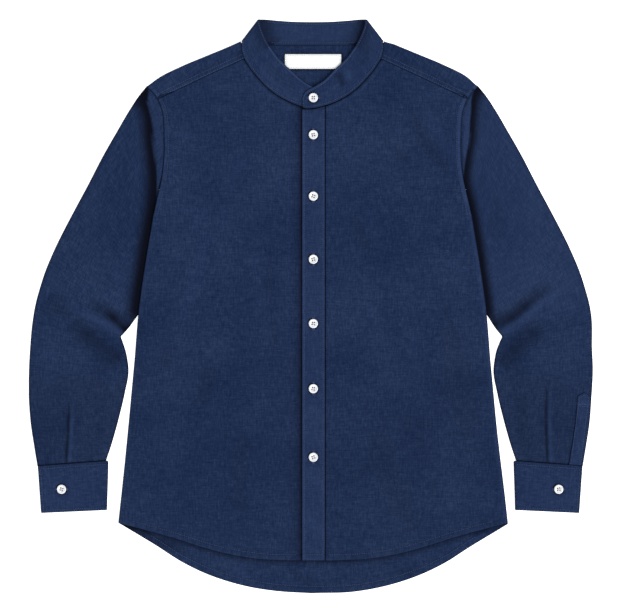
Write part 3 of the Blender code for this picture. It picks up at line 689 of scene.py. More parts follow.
@dataclass
class ClothWall:
    """A cut piece of cloth as a closed wall of even thickness with rounded rims.

    Attributes:
        points: its middle surface by row and column, as (across, up, height).
        cut: the same places on the flat cloth.
        thickness: how thick it is.
        shade: how far painted shade darkens each place, from 0 to 1.
        highlight_and_abrasion: how far painted highlight and abrasion lighten each place, from 0 to 1.
        is_tube: whether the last column is the first one again.
        cells: which cells are cloth, or None for all.
        rim_shade: how dark the rims are.
    """

    points: Array
    cut: Array
    thickness: float
    shade: Array
    highlight_and_abrasion: Array
    is_tube: bool = False
    cells: Array | None = None
    rim_shade: float = 0.7

    def quads(self) -> Array:
        """The numbers of each cell's four corners."""
        rows, columns = self.points.shape[:2]
        ids = np.arange(rows * columns).reshape(rows, columns)
        cells = np.stack([ids[:-1, :-1], ids[:-1, 1:], ids[1:, 1:], ids[1:, :-1]], axis=-1)
        return cells.reshape(-1, 4) if self.cells is None else cells[self.cells]

    def mesh(self, name: str) -> Mesh:
        """Builds the wall's mesh.

        Args:
            name: the mesh's name.

        Returns:
            A closed mesh with the UV map "cut", and a colour attribute that holds painted shade in red
            and painted highlight and abrasion in green.
        """
        quads = self.quads()
        rows, columns = self.points.shape[:2]
        merged = np.arange(rows * columns).reshape(rows, columns)
        if self.is_tube:
            merged[:, -1] = merged[:, 0]
        corners = merged.ravel()[quads]
        middle = self.points.reshape(-1, 3)
        count = len(middle)
        facing = np.cross(middle[corners[:, 2]] - middle[corners[:, 0]],
                          middle[corners[:, 3]] - middle[corners[:, 1]])
        normals = np.zeros((count, 3))
        for corner in range(4):
            np.add.at(normals, corners[:, corner], facing)
        normals = unit(normals)

        starts, ends = corners.ravel(), np.roll(corners, -1, axis=1).ravel()
        is_rim = ~np.isin(starts * count + ends, ends * count + starts)
        rim_start, rim_end = starts[is_rim], ends[is_rim]
        raw_start, raw_end = quads.ravel()[is_rim], np.roll(quads, -1, axis=1).ravel()[is_rim]
        away = np.cross(middle[rim_end] - middle[rim_start], normals[rim_start])
        outward = np.zeros((count, 3))
        np.add.at(outward, rim_start, away)
        np.add.at(outward, rim_end, away)
        outward = unit(outward)

        radius = self.thickness / 2
        rim = np.unique(np.concatenate([rim_start, rim_end]))
        rim_number = np.zeros(count, dtype=int)
        rim_number[rim] = np.arange(len(rim))
        levels = [middle + normals * radius, middle - normals * radius]
        for angle in np.radians((50, 0, -50)):
            turn = outward[rim] * math.cos(angle) + normals[rim] * math.sin(angle)
            levels.append(middle[rim] + turn * radius)
        vertices = np.vstack(levels)

        faces = [corners, corners[:, ::-1] + count]
        flat = self.cut.reshape(-1, 2)
        flat_corners = [flat[quads], flat[quads[:, ::-1]]]
        rim_rows = [(rim_start, rim_end)]
        for level in range(3):
            first = 2 * count + level * len(rim)
            rim_rows.append((first + rim_number[rim_start], first + rim_number[rim_end]))
        rim_rows.append((rim_start + count, rim_end + count))
        for (high_start, high_end), (low_start, low_end) in zip(rim_rows[:-1], rim_rows[1:]):
            faces.append(np.stack([high_end, high_start, low_start, low_end], axis=-1))
            flat_corners.append(flat[np.stack([raw_end, raw_start, raw_start, raw_end], axis=1)])
        faces, flat_corners = np.vstack(faces), np.concatenate(flat_corners)
        first, second, third, fourth = (vertices[faces[:, corner]] for corner in range(4))
        volume = (np.cross(first, second) * third).sum() + (np.cross(first, third) * fourth).sum()
        if volume < 0:
            faces, flat_corners = faces[:, ::-1], flat_corners[:, ::-1]

        shade, highlight_and_abrasion = np.clip(self.shade.ravel(), 0, 1), np.clip(self.highlight_and_abrasion.ravel(), 0, 1)
        rim_dark = np.clip(shade[rim] + self.rim_shade, 0, 1)
        paint = np.zeros((len(vertices), 4))
        paint[:, 0] = np.concatenate([shade, shade, np.tile(rim_dark, 3)])
        paint[:, 1] = np.concatenate([highlight_and_abrasion, highlight_and_abrasion, np.tile(highlight_and_abrasion[rim], 3)])
        paint[:, 3] = 1

        used, renumbered = np.unique(faces, return_inverse=True)
        places = vertices[used] + [CENTRE_LINE_X, 0, 0]
        mesh = new_mesh(name, places, renumbered.reshape(faces.shape).tolist())
        layer = mesh.uv_layers.new(name="cut")
        layer.uv.foreach_set("vector", (flat_corners * MM).astype(np.float32).ravel())
        attribute = mesh.color_attributes.new(name="painted_light_and_abrasion", type="FLOAT_COLOR", domain="POINT")
        attribute.data.foreach_set("color", paint[used].astype(np.float32).ravel())
        mesh.shade_smooth()
        return mesh


def dress(name: str, mesh: Mesh, material: Material, nodes: Sequence[str] = ()) -> Object:
    """Puts a finished mesh into the scene as a piece of the shirt.

    Args:
        name: the piece's name.
        mesh: its mesh, in metres.
        material: its finish.
        nodes: the CAD nodes that it stands for.

    Returns:
        The piece, riding on the one body.
    """
    piece = add_object(name, mesh)
    mesh.materials.append(material)
    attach(piece, BODY)
    if nodes:
        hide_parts(*nodes)
    log.info("%s: %d faces", name, len(mesh.polygons))
    return piece


def dress_wall(node: str, wall: ClothWall, material: Material) -> Object:
    """Lays a cut piece of cloth where its CAD node lies.

    Args:
        node: the CAD node.
        wall: the piece.
        material: its finish.

    Returns:
        The piece.
    """
    piece = dress(f"cloth_{node}", wall.mesh(node), material, [node])
    return piece


@dataclass
class BodyPlan:
    """The lines that the body's pieces are cut along, on one half, and how high its layers lie."""

    armhole: Curve = Curve((
        (228.6, 304.2), (216.3, 290.5), (207.9, 271.2), (204.9, 238), (205, 205), (208.5, 175),
        (214, 150), (219.5, 126)))
    side: Curve = Curve((
        (219.5, 126), (230, 64), (240.4, -10), (244.6, -60), (249.4, -112), (260, -222),
        (268.3, -298.9)))
    back_hem: Curve = Curve((
        (268.3, -298.9), (247.7, -311), (214.4, -331.1), (182, -351.9), (147.5, -368.9), (114.5, -380.5),
        (81, -388.6), (48, -393.3), (0, -396.2)))
    front_hem: Curve = Curve((
        (268.3, -298.9), (232, -308.4), (192, -319.5), (151, -332.6), (111, -342.9), (71, -348.9),
        (38, -350.4), (0, -350.8), (-20, -350.8)))
    shoulder: Curve = Curve((
        (99.4, 366), (113.8, 359.5), (147, 345.7), (180, 331.9), (213, 315.3), (228.6, 304.2)))
    yoke_seam: Curve = Curve(((94.8, 341.5), (150, 316.4), (214, 286)))
    back_neck: Curve = Curve(((99.5, 364.6), (95.8, 361.2), (88, 360.6), (60, 360.2), (0, 359.8)))
    front_neck: Curve = Curve((
        (99.5, 364.6), (98.9, 357.5), (94.8, 341.5), (89, 331.8), (74.5, 313.3), (54.5, 294.6),
        (32.4, 281.8), (17.3, 276), (8, 273), (0, 271.8), (-20, 271.8)))
    # The sleeve's edge that lies hidden under the body, from the underarm to where it comes out again
    hidden_sleeve: Rows = (
        (219.5, 126), (207.7, 116.6), (200.8, 101.4), (198, 83.5), (199.4, 66.9), (204.9, 49),
        (214.6, 28.3), (225.6, 9), (242.3, -13.8), (230, 64))
    underarm_up: float = 126
    back_seam_up: float = 267
    front_top_up: float = 286
    front_top_out: float = 214
    neck_side_out: float = 94.8
    placket_left: float = 17.4
    placket_right: float = -14.5
    right_front_edge: float = -15.9
    over_sleeve_margin: float = 32
    over_sleeve_ramp: float = 28
    air: float = 1.6
    placket_ramp: float = 38
    hem_width: float = 7.6
    tail_hem_width: float = 9.2
    left_shoulder_rise: float = 2.2
    left_hem_out: float = 1.7
    left_tail_drop: float = 1.8
    armhole_band: float = 6

    def __post_init__(self) -> None:
        """Works out the body's edge and outline."""
        self.hem_tip, tip = Place(*self.side.points[-1]), Place(*self.shoulder.points[-1])
        self.neck_up, self.hem_middle_up = self.front_neck.points[-1, 1], self.front_hem.points[-1, 1]
        self.edge = np.vstack([self.armhole.spread(30), self.side.spread(30)[1:]])
        self.outline = np.vstack([self.edge, [[0, self.hem_tip.up], [0, tip.up]]])

    def placed(self, half: Array, side: Side, drop: float = 0) -> Array:
        """Places of a half on one side of the shirt, whose left hem lies a little further out.

        Args:
            half: places on a half (..., 2).
            side: the side.
            drop: how much lower the left tail hangs.

        Returns:
            The places, as (across, up).
        """
        signed = half * [side.value, 1]
        if side is Side.LEFT:
            out, up = half[..., 0], half[..., 1]
            signed[..., 0] += self.left_hem_out * ease((-150 - up) / 120) * ease((out - 60) / 150)
            signed[..., 1] -= drop * ease((-250 - up) / 60) * ease(out / 60)
        return signed

    def over_sleeve(self, half: Array) -> Array:
        """How far the body is lifted by the sleeve under it, from 0 to 1, at places on one half."""
        beyond = distance_outside(half, np.array(self.hidden_sleeve)) - self.over_sleeve_margin
        return ease(1 - beyond / self.over_sleeve_ramp)

    def hem_up(self, out: Array) -> Array:
        """How far up the front's hem is at these distances out."""
        return self.front_hem.crossing(0, np.abs(out))[:, 1].reshape(out.shape)

    def side_out(self, up: Array) -> Array:
        """How far out the body's side is at these places up."""
        return self.side.crossing(1, up)[:, 0].reshape(up.shape)

    def air_inside(self, half: Array) -> Array:
        """How far the front stands clear of the back, from 0 at the pressed side and hem to 1."""
        from_side = ease((self.side_out(half[..., 1]) - half[..., 0]) / 45)
        above_underarm = ease((half[..., 1] - 96) / 28)
        from_hem = ease((half[..., 1] - self.hem_up(half[..., 0])) / 70)
        return np.maximum(from_side, above_underarm) * from_hem

    def back_height(self, half: Array) -> Array:
        """The height of the back's underside."""
        return (PRESSED + SEAM_GAP) * self.over_sleeve(half)

    def front_height(self, half: Array) -> Array:
        """The height of a front's underside."""
        return self.back_height(half) + LAYER + self.air * self.air_inside(half)

    def placket_height(self, half: Array) -> Array:
        """The height of the placket's underside."""
        return self.front_height(half) + LAYER

    def side_edge(self, ups: Array) -> Array:
        """The places on the armhole and side at these places up."""
        above = ups >= self.underarm_up
        return np.vstack([self.armhole.crossing(1, ups[above]), self.side.crossing(1, ups[~above])])


@dataclass
class Back:
    """The back, from the yoke seam to the long curved tail that shows below the fronts."""

    plan: BodyPlan
    step: float = 4.2
    creases: tuple[Crease, ...] = (
        Crease(((-264, -298), (-212, -325), (-160, -338)), 0, 6, 9, shade=0.34, starts=0.05),
        Crease(((-40, -357), (-10, -380), (8, -396)), -0.25, 9, 9, shade=0.1),
        Crease(((96, -352), (128, -366), (150, -366)), -0.2, 10, 8, shade=0.08),
        Crease(((-118, -352), (-96, -372), (-92, -388)), 0.2, 9, 9, highlight_and_abrasion=0.1),
    )

    def wall(self) -> ClothWall:
        """Lays out the back's cloth."""
        plan = self.plan
        ups = steps_between(plan.back_seam_up, plan.hem_tip.up, self.step, fine_end=26)
        along = (ups[0] - ups) / (ups[0] - ups[-1])
        across = np.linspace(0, 1, 66)
        edge = plan.side_edge(ups)
        top = np.column_stack([edge[0, 0] * (1 - across), np.full(len(across), plan.back_seam_up)])
        hem = plan.back_hem.crossing(0, edge[-1, 0] * (1 - across))
        middle = np.column_stack([np.zeros(len(ups)), ups[0] + (hem[-1, 1] - ups[0]) * along])
        half = inset(edges_patch(top, hem, edge, middle, across, along), SEAM_GAP / 2 + CLOTH / 2)
        half[:, -1, 0] = 0
        half[0, :, 1] = plan.back_seam_up - CLOSED_SEAM - CLOTH / 2
        left = plan.placed(half, Side.LEFT, plan.left_tail_drop)
        whole = np.concatenate([half * [-1, 1], left[:, -2::-1]], axis=1)
        mirrored = np.concatenate([half, half[:, -2::-1]], axis=1)
        right_hem, front_hem = plan.back_hem.spread(50), plan.front_hem.spread(50)
        left_hem = plan.placed(right_hem, Side.LEFT, plan.left_tail_drop)
        to_hem = nearest_on(whole, np.vstack([right_hem * [-1, 1], left_hem[-2::-1]]))
        fold = turned_edge(to_hem.distance, to_hem.along, plan.tail_hem_width, 3)
        soft = relief_of(whole, self.creases)
        under_front = nearest_on(whole, np.vstack([front_hem[:-4] * [-1, 1], front_hem[-5::-1]]))
        below = whole[..., 1] < plan.hem_up(mirrored[..., 0])
        # Painted shadow that the front's hem casts on the tail, and full painted shade where the tail lies
        # under the front
        cast = 0.62 * hump(under_front.distance, 4.6) * below + 0.8 * (~below)
        rim = 0.26 * hump(to_hem.distance, 1.3)
        free = ease((plan.hem_up(mirrored[..., 0]) - 1 - whole[..., 1]) / 6)
        height = plan.back_height(mirrored) + CLOTH / 2 + (fold.rise + soft.rise + 0.5) * free
        shade = fold.shade + soft.shade + cast + rim
        return ClothWall(np.dstack([whole, height]), whole, CLOTH, shade, fold.highlight_and_abrasion + soft.highlight_and_abrasion)

    def seams(self) -> list[Array]:
        """The plan lines that are stitched."""
        line = self.plan.back_hem.spread(90)
        line = line[line[:, 0] < 226] + [0, self.plan.tail_hem_width + 0.4]
        left = self.plan.placed(line, Side.LEFT, self.plan.left_tail_drop)
        return [np.vstack([line * [-1, 1], left[-2::-1]])]


@dataclass
class Yoke:
    """The yoke: one piece behind the neck that wraps forward over both shoulders to a seam on each front."""

    plan: BodyPlan
    back_rows: int = 34
    front_rows: int = 15
    neck_columns: int = 34
    shoulder_columns: int = 52
    neck_reach: float = 90
    neck_lap: float = 2.5
    start_out: tuple[float, float] = (98, 207.3)
    creases: tuple[Crease, ...] = (
        Crease(((-100, 352), (-150, 326), (-206, 297)), -0.35, 6, 6, shade=0.12),
        Crease(((100, 350), (150, 327), (205, 298)), -0.3, 6, 6, shade=0.08),
        Crease(((-92, 356), (-84, 336), (-74, 316)), 0, 13, 13, shade=0.55, starts=0),
        Crease(((92, 356), (84, 336), (74, 316)), 0, 10, 10, shade=0.5, starts=0),
        Crease(((-52, 300), (0, 268), (52, 300)), 0, 22, 22, shade=0.62, starts=0, ends=0),
        Crease(((-48, 351), (0, 352.5), (48, 351)), 0, 2.6, 2.6, shade=0.18),
    )

    def column(self, start: Array, fold: Array, end: Array) -> Array:
        """One line of the yoke, from its back seam over the shoulder to its front seam.

        Args:
            start: the place at the back seam.
            fold: the place on the shoulder's edge.
            end: the place at the front seam.

        Returns:
            Its points, as (out, up, height).
        """
        back_z, front_z = CLOTH / 2, PRESSED + SEAM_GAP + CLOTH / 2
        radius = (front_z - back_z) / 2
        towards_back = (start - fold) / norm(start - fold)
        towards_front = (end - fold) / norm(end - fold)
        back_end = fold + towards_back * (CLOTH / 2 + radius)
        front_start = fold + towards_front * (CLOTH / 2 + radius)
        parts = np.linspace(0, 1, self.back_rows)[:, None]
        behind = np.column_stack([start + (back_end - start) * parts, np.full(self.back_rows, back_z)])
        angles = np.radians(np.linspace(-90, 90, 11)[1:-1])
        round_fold = []
        for angle in angles:
            direction = towards_back if angle < 0 else towards_front
            place = fold + direction * (CLOTH / 2 + radius * (1 - math.cos(angle)))
            round_fold.append((*place, back_z + radius * (1 + math.sin(angle))))
        parts = np.linspace(0, 1, self.front_rows)[:, None]
        before = front_start + (end - front_start) * parts
        before = np.column_stack([before, np.full(self.front_rows, front_z)])
        return np.vstack([behind, round_fold, before])

    def half(self, shoulder_rise: float) -> Array:
        """The columns of one half, from the middle of the neck outwards.

        Args:
            shoulder_rise: how much higher its shoulder lies than the table's.

        Returns:
            The points by column and row.
        """
        plan, edge, seam_in = self.plan, SEAM_GAP / 2 + CLOTH / 2, CLOSED_SEAM + CLOTH / 2
        columns = []
        for out in np.linspace(0, self.neck_reach, self.neck_columns):
            top_up = plan.back_neck.crossing(0, [out])[0, 1] - edge + self.neck_lap
            ups = np.linspace(plan.back_seam_up + seam_in, top_up, self.back_rows)
            column = np.column_stack([np.full(len(ups), out), ups, np.full(len(ups), CLOTH / 2)])
            columns.append(np.vstack([column, np.repeat(column[-1:], 9 + self.front_rows, axis=0)]))
        for part in np.linspace(0, 1, self.shoulder_columns):
            first, last = self.start_out
            start = np.array([first + (last - edge - first) * part, plan.back_seam_up + seam_in])
            fold = plan.shoulder.at(part * plan.shoulder.length)[0]
            fold[1] += shoulder_rise * ease(part / 0.12) * ease((1 - part) / 0.15)
            end = plan.yoke_seam.at(part * plan.yoke_seam.length)[0] + [0, edge]
            column = self.column(start, fold, end)
            gap = plan.armhole.crossing(1, column[:, 1])[:, 0] - edge - column[:, 0]
            above_back = column[:, 2] - CLOTH / 2
            is_fold = (above_back > 0.01) & (above_back < PRESSED + SEAM_GAP - 0.01)
            gap = np.where(column[:, 1] > 300, -edge, gap)
            column[:, 0] += np.where(is_fold, -edge, gap) * ease((part - 0.8) / 0.2)
            columns.append(column)
        return np.array(columns)

    def wall(self) -> ClothWall:
        """Lays out the yoke's cloth."""
        right, left = self.half(0), self.half(self.plan.left_shoulder_rise)
        points = np.concatenate([right[:0:-1] * [-1, 1, 1], left]).transpose(1, 0, 2)
        rows, columns = points.shape[:2]
        middle = columns // 2
        cells = np.ones((rows - 1, columns - 1), dtype=bool)
        cells[self.back_rows - 1:, middle - self.neck_columns:middle + self.neck_columns] = False
        running = running_length(points)
        cut = np.dstack([np.broadcast_to(points[:1, :, 0], running.shape), running])
        plan = points[..., :2]
        soft = relief_of(plan, self.creases)
        seam = self.plan.yoke_seam.spread(30)
        mirrored = np.abs(plan[..., :1]) * [1, 0] + plan * [0, 1]
        to_seam = nearest_on(mirrored, seam)
        on_top = ease((points[..., 2] - 2.4) / 0.8)
        edge = turned_edge(to_seam.distance, to_seam.along + 70 * (plan[..., 0] > 0), 6.4, 8, 0.85)
        height = points[..., 2] + (edge.rise * 0.5 + soft.rise + 0.2) * on_top * ease(to_seam.distance / 2)
        to_arm = nearest_on(mirrored, self.plan.armhole.spread(40)).distance
        beside_label = (np.abs(plan - NeckLabel.centre) - np.array(NeckLabel.size) / 2).max(axis=-1)
        shade = (0.4 * edge.shade + 0.06 * hump(to_seam.distance, 0.9)) * on_top + soft.shade
        shade += (0.4 * hump(to_arm, 1) + 0.3 * hump(to_arm - self.plan.armhole_band, 0.9)) * on_top
        shade += 0.9 * hump(beside_label - 0.3, 1.3) * (1 - on_top)
        highlight_and_abrasion = (edge.highlight_and_abrasion + 0.22 * ease((self.plan.armhole_band + 0.5 - to_arm) / 1.2)) * on_top + soft.highlight_and_abrasion
        points = np.dstack([plan, height])
        return ClothWall(points, cut, CLOTH, shade, highlight_and_abrasion, cells=cells, rim_shade=0.4)

    def seams(self) -> list[Array]:
        """The plan lines that are stitched."""
        lines = []
        for offset in (1.6, 6.6):
            line = self.plan.yoke_seam.spread(30) + [0.35 * offset, 0.93 * offset]
            lines += [line * [-1, 1], line]
        return lines


@dataclass
class Front:
    """One front.  The right one runs on under the placket, and the left one ends at the placket's seam."""

    side: Side
    plan: BodyPlan
    edge_out: float
    creases: tuple[Crease, ...]
    step: float = 2.8
    puff: float = 0.7

    def half_plan(self) -> Array:
        """The front's places by row and column, on its own half."""
        plan = self.plan
        ups = steps_between(plan.front_top_up, plan.hem_tip.up, self.step, 8, 12)
        outs = steps_between(plan.front_top_out, self.edge_out, self.step, 8, 5)
        along = (ups[0] - ups) / (ups[0] - ups[-1])
        across = (outs[0] - outs) / (outs[0] - outs[-1])
        at_yoke = outs >= plan.neck_side_out
        at_neck = plan.front_neck.crossing(0, outs[~at_yoke])
        top = np.vstack([plan.yoke_seam.crossing(0, outs[at_yoke]), at_neck])
        hem_outs = plan.hem_tip.out + (self.edge_out - plan.hem_tip.out) * across
        hem = plan.front_hem.crossing(0, hem_outs)
        top_up = top[-1, 1]
        middle = np.column_stack([np.full(len(ups), self.edge_out), top_up + (hem[-1, 1] - top_up) * along])
        grid = edges_patch(top, hem, plan.side_edge(ups), middle, across, along)
        return inset(grid, SEAM_GAP / 2 + CLOTH / 2)

    def wall(self) -> ClothWall:
        """Lays out the front's cloth."""
        plan, half, sign = self.plan, self.half_plan(), self.side.value
        signed = plan.placed(half, self.side)
        height = plan.front_height(half) + CLOTH / 2
        if self.side is Side.LEFT:
            height += LAYER * ease(1 - (half[..., 0] - plan.placket_left) / plan.placket_ramp)
        to_hem = nearest_on(half, plan.front_hem.spread(60))
        to_side = nearest_on(half, plan.edge)
        to_seam = nearest_on(half, plan.yoke_seam.spread(30))
        to_neck = nearest_on(half, plan.front_neck.spread(40)).distance
        free = ease((half[..., 0] - plan.placket_left - 4) / 22) * ease(to_hem.distance / 26)
        free = free * ease(to_side.distance / 12) * ease(to_seam.distance / 12) * ease(to_neck / 14)
        soft = relief_of(signed, self.creases)
        drift = 0.30 * wander(signed[..., 0] + 0.4 * signed[..., 1], 120, sign + 2)
        drift += 0.26 * wander(signed[..., 1] * 0.7 - signed[..., 0] * 0.5, 96, sign + 5)
        rise = (self.puff + soft.rise + drift) * free
        hem = turned_edge(to_hem.distance, to_hem.along, plan.hem_width, 1 + sign)
        seam_pucker = 0.12 * wander(to_seam.along, 9, 4 + sign) * hump(to_seam.distance - 4, 3)
        side_pucker = 0.10 * wander(to_side.along, 12, 9 + sign) * hump(to_side.distance - 4, 3.5)
        puckers = (seam_pucker + side_pucker) * ease(to_side.distance / 2)
        rise += hem.rise * ease(to_hem.distance / 0.8) + puckers
        at_placket = hump(half[..., 0] - plan.placket_left, 2.2) * (self.side is Side.LEFT)
        shade = soft.shade * free + hem.shade + 0.1 * hump(to_seam.distance, 1.1) + 0.3 * at_placket
        shade += 0.60 * hump(to_side.distance, 0.9) + 0.36 * hump(to_neck, 2.2)
        shade += (0.05 + 0.01 * sign) * ease(-half[..., 1] / 100)
        lit_edge, lit_band = (0.05, 0.07) if self.side is Side.RIGHT else (0.22, 0.16)
        highlight_and_abrasion = hem.highlight_and_abrasion + soft.highlight_and_abrasion * free + lit_edge * hump(to_side.distance - 2.6, 2.4)
        highlight_and_abrasion += 0.12 * hump(to_neck - 4.2, 1.8)
        at_armhole = ease((half[..., 1] - plan.underarm_up - 8) / 12)
        band = ease((plan.armhole_band + 0.5 - to_side.distance) / 1.2) * at_armhole
        shade += 0.3 * hump(to_side.distance - plan.armhole_band, 0.9) * at_armhole
        highlight_and_abrasion += band * (lit_band + 0.2 * np.clip(wander(to_side.along, 8, 5 + sign), 0, 1))
        if self.side is Side.RIGHT:
            # Painted shadow that the placket's free edge casts on the right front, and full painted shade
            # under the placket
            beside = half[..., 0] + plan.placket_right
            cast = hump(beside, 4) * (beside > 0) + (beside <= 0)
            shade += 0.72 * cast + 0.20 * hump(beside - 7, 7)
        return ClothWall(np.dstack([signed, height + rise]), signed, CLOTH, shade, highlight_and_abrasion)

    def seams(self) -> list[Array]:
        """The plan lines that are stitched."""
        hem = self.plan.front_hem.spread(70)
        hem = hem[(hem[:, 0] > 20) & (hem[:, 0] < 250)] + [0, self.plan.hem_width + 0.3]
        armhole = self.plan.armhole.spread(60)
        armhole = armhole[armhole[:, 1] < 284] - [self.plan.armhole_band, 0]
        return [self.plan.placed(line, self.side) for line in (hem, armhole)]


@dataclass
class Placket:
    """The button strip down the left front's edge, stitched along both sides."""

    plan: BodyPlan
    step: float = 2
    stitch_in: float = 3
    box_height: float = 8.5
    top_seam_up: float = 272
    button_out: float = 1.1
    buttonhole: float = 16
    button_ups: tuple[float, ...] = (236.8, 152.1, 65.1, -23.5, -113.2, -207.7)
    top_rows: tuple[tuple[float, float], ...] = ((-14.5, 272.2), (0, 272.4), (17.4, 276.4))

    def wall(self) -> ClothWall:
        """Lays out the placket's cloth."""
        plan = self.plan
        edge = PLACKET_CLOTH / 2
        outs = steps_between(plan.placket_right + edge, plan.placket_left - edge, 1.3, 3, 3)
        hem_up = plan.hem_middle_up + SEAM_GAP / 2 + edge
        ups = steps_between(plan.neck_up, hem_up, self.step, 6, 12)
        share = (ups - ups[-1]) / (ups[0] - ups[-1])
        top = Curve(self.top_rows).crossing(0, outs)[:, 1] - edge
        grid = np.dstack(np.broadcast_arrays(outs[None, :], ups[-1] + share[:, None] * (top - ups[-1])[None]))
        from_right = grid[..., 0] - plan.placket_right
        from_left = plan.placket_left - grid[..., 0]
        # Painted shadow: a dark ring round each button
        near_button, button_shadow = np.zeros(grid.shape[:-1]), np.zeros(grid.shape[:-1])
        for up in self.button_ups:
            near_button = np.maximum(near_button, hump(grid[..., 1] - up, 15))
            button_shadow += 0.7 * hump(np.hypot(grid[..., 0] - self.button_out, grid[..., 1] - up) - 7, 1.2)
        loose = 1 - near_button
        loose *= ease((grid[..., 1] - hem_up) / 20) * ease((self.top_seam_up - grid[..., 1]) / 14)
        waves = wander(grid[..., 1] + 0.8 * grid[..., 0], 54, 6)
        rise = 0.34 * loose * (1 + waves) * hump(grid[..., 0] - 1, 13)
        edges = together((turned_edge(from_right, grid[..., 1], self.stitch_in, 12, 0.8),
                          turned_edge(from_left, grid[..., 1], self.stitch_in, 15, 0.7)))
        rise = rise + edges.rise * ease(np.minimum(from_right, from_left) / 1)
        shade = edges.shade + 0.34 * hump(from_left, 0.9) + 0.22 * hump(from_right, 0.8) + button_shadow
        over_box = grid[..., 1] - hem_up - self.box_height
        shade += 0.3 * hump(over_box, 0.9) + 0.3 * hump(self.top_seam_up + 0.5 - grid[..., 1], 2)
        highlight_and_abrasion = edges.highlight_and_abrasion + 0.10 + 0.22 * hump(from_right - 2, 2) + 0.16 * hump(from_left - 2.2, 1.6)
        spots = hump(grid[..., 0] + 9, 3.2) * near_button ** 6
        highlight_and_abrasion = highlight_and_abrasion + 0.22 * spots + 0.10 * np.clip(waves, 0, 1) * loose
        height = plan.placket_height(grid) + edge + rise
        return ClothWall(np.dstack([grid, height]), grid, PLACKET_CLOTH, shade, highlight_and_abrasion)

    def seams(self) -> list[Array]:
        """The plan lines that are stitched."""
        plan = self.plan
        hem_up = plan.hem_middle_up
        left, right = plan.placket_left - self.stitch_in, plan.placket_right + self.stitch_in
        low, box = hem_up + 2.6, hem_up + self.box_height + 0.6
        return [
            np.array([[left, self.top_seam_up], [left, low]]),
            np.array([[right, self.top_seam_up - 2], [right, low]]),
            np.array([[right, box], [left, box]]),
            np.array([[right, low], [left, low]]),
        ]


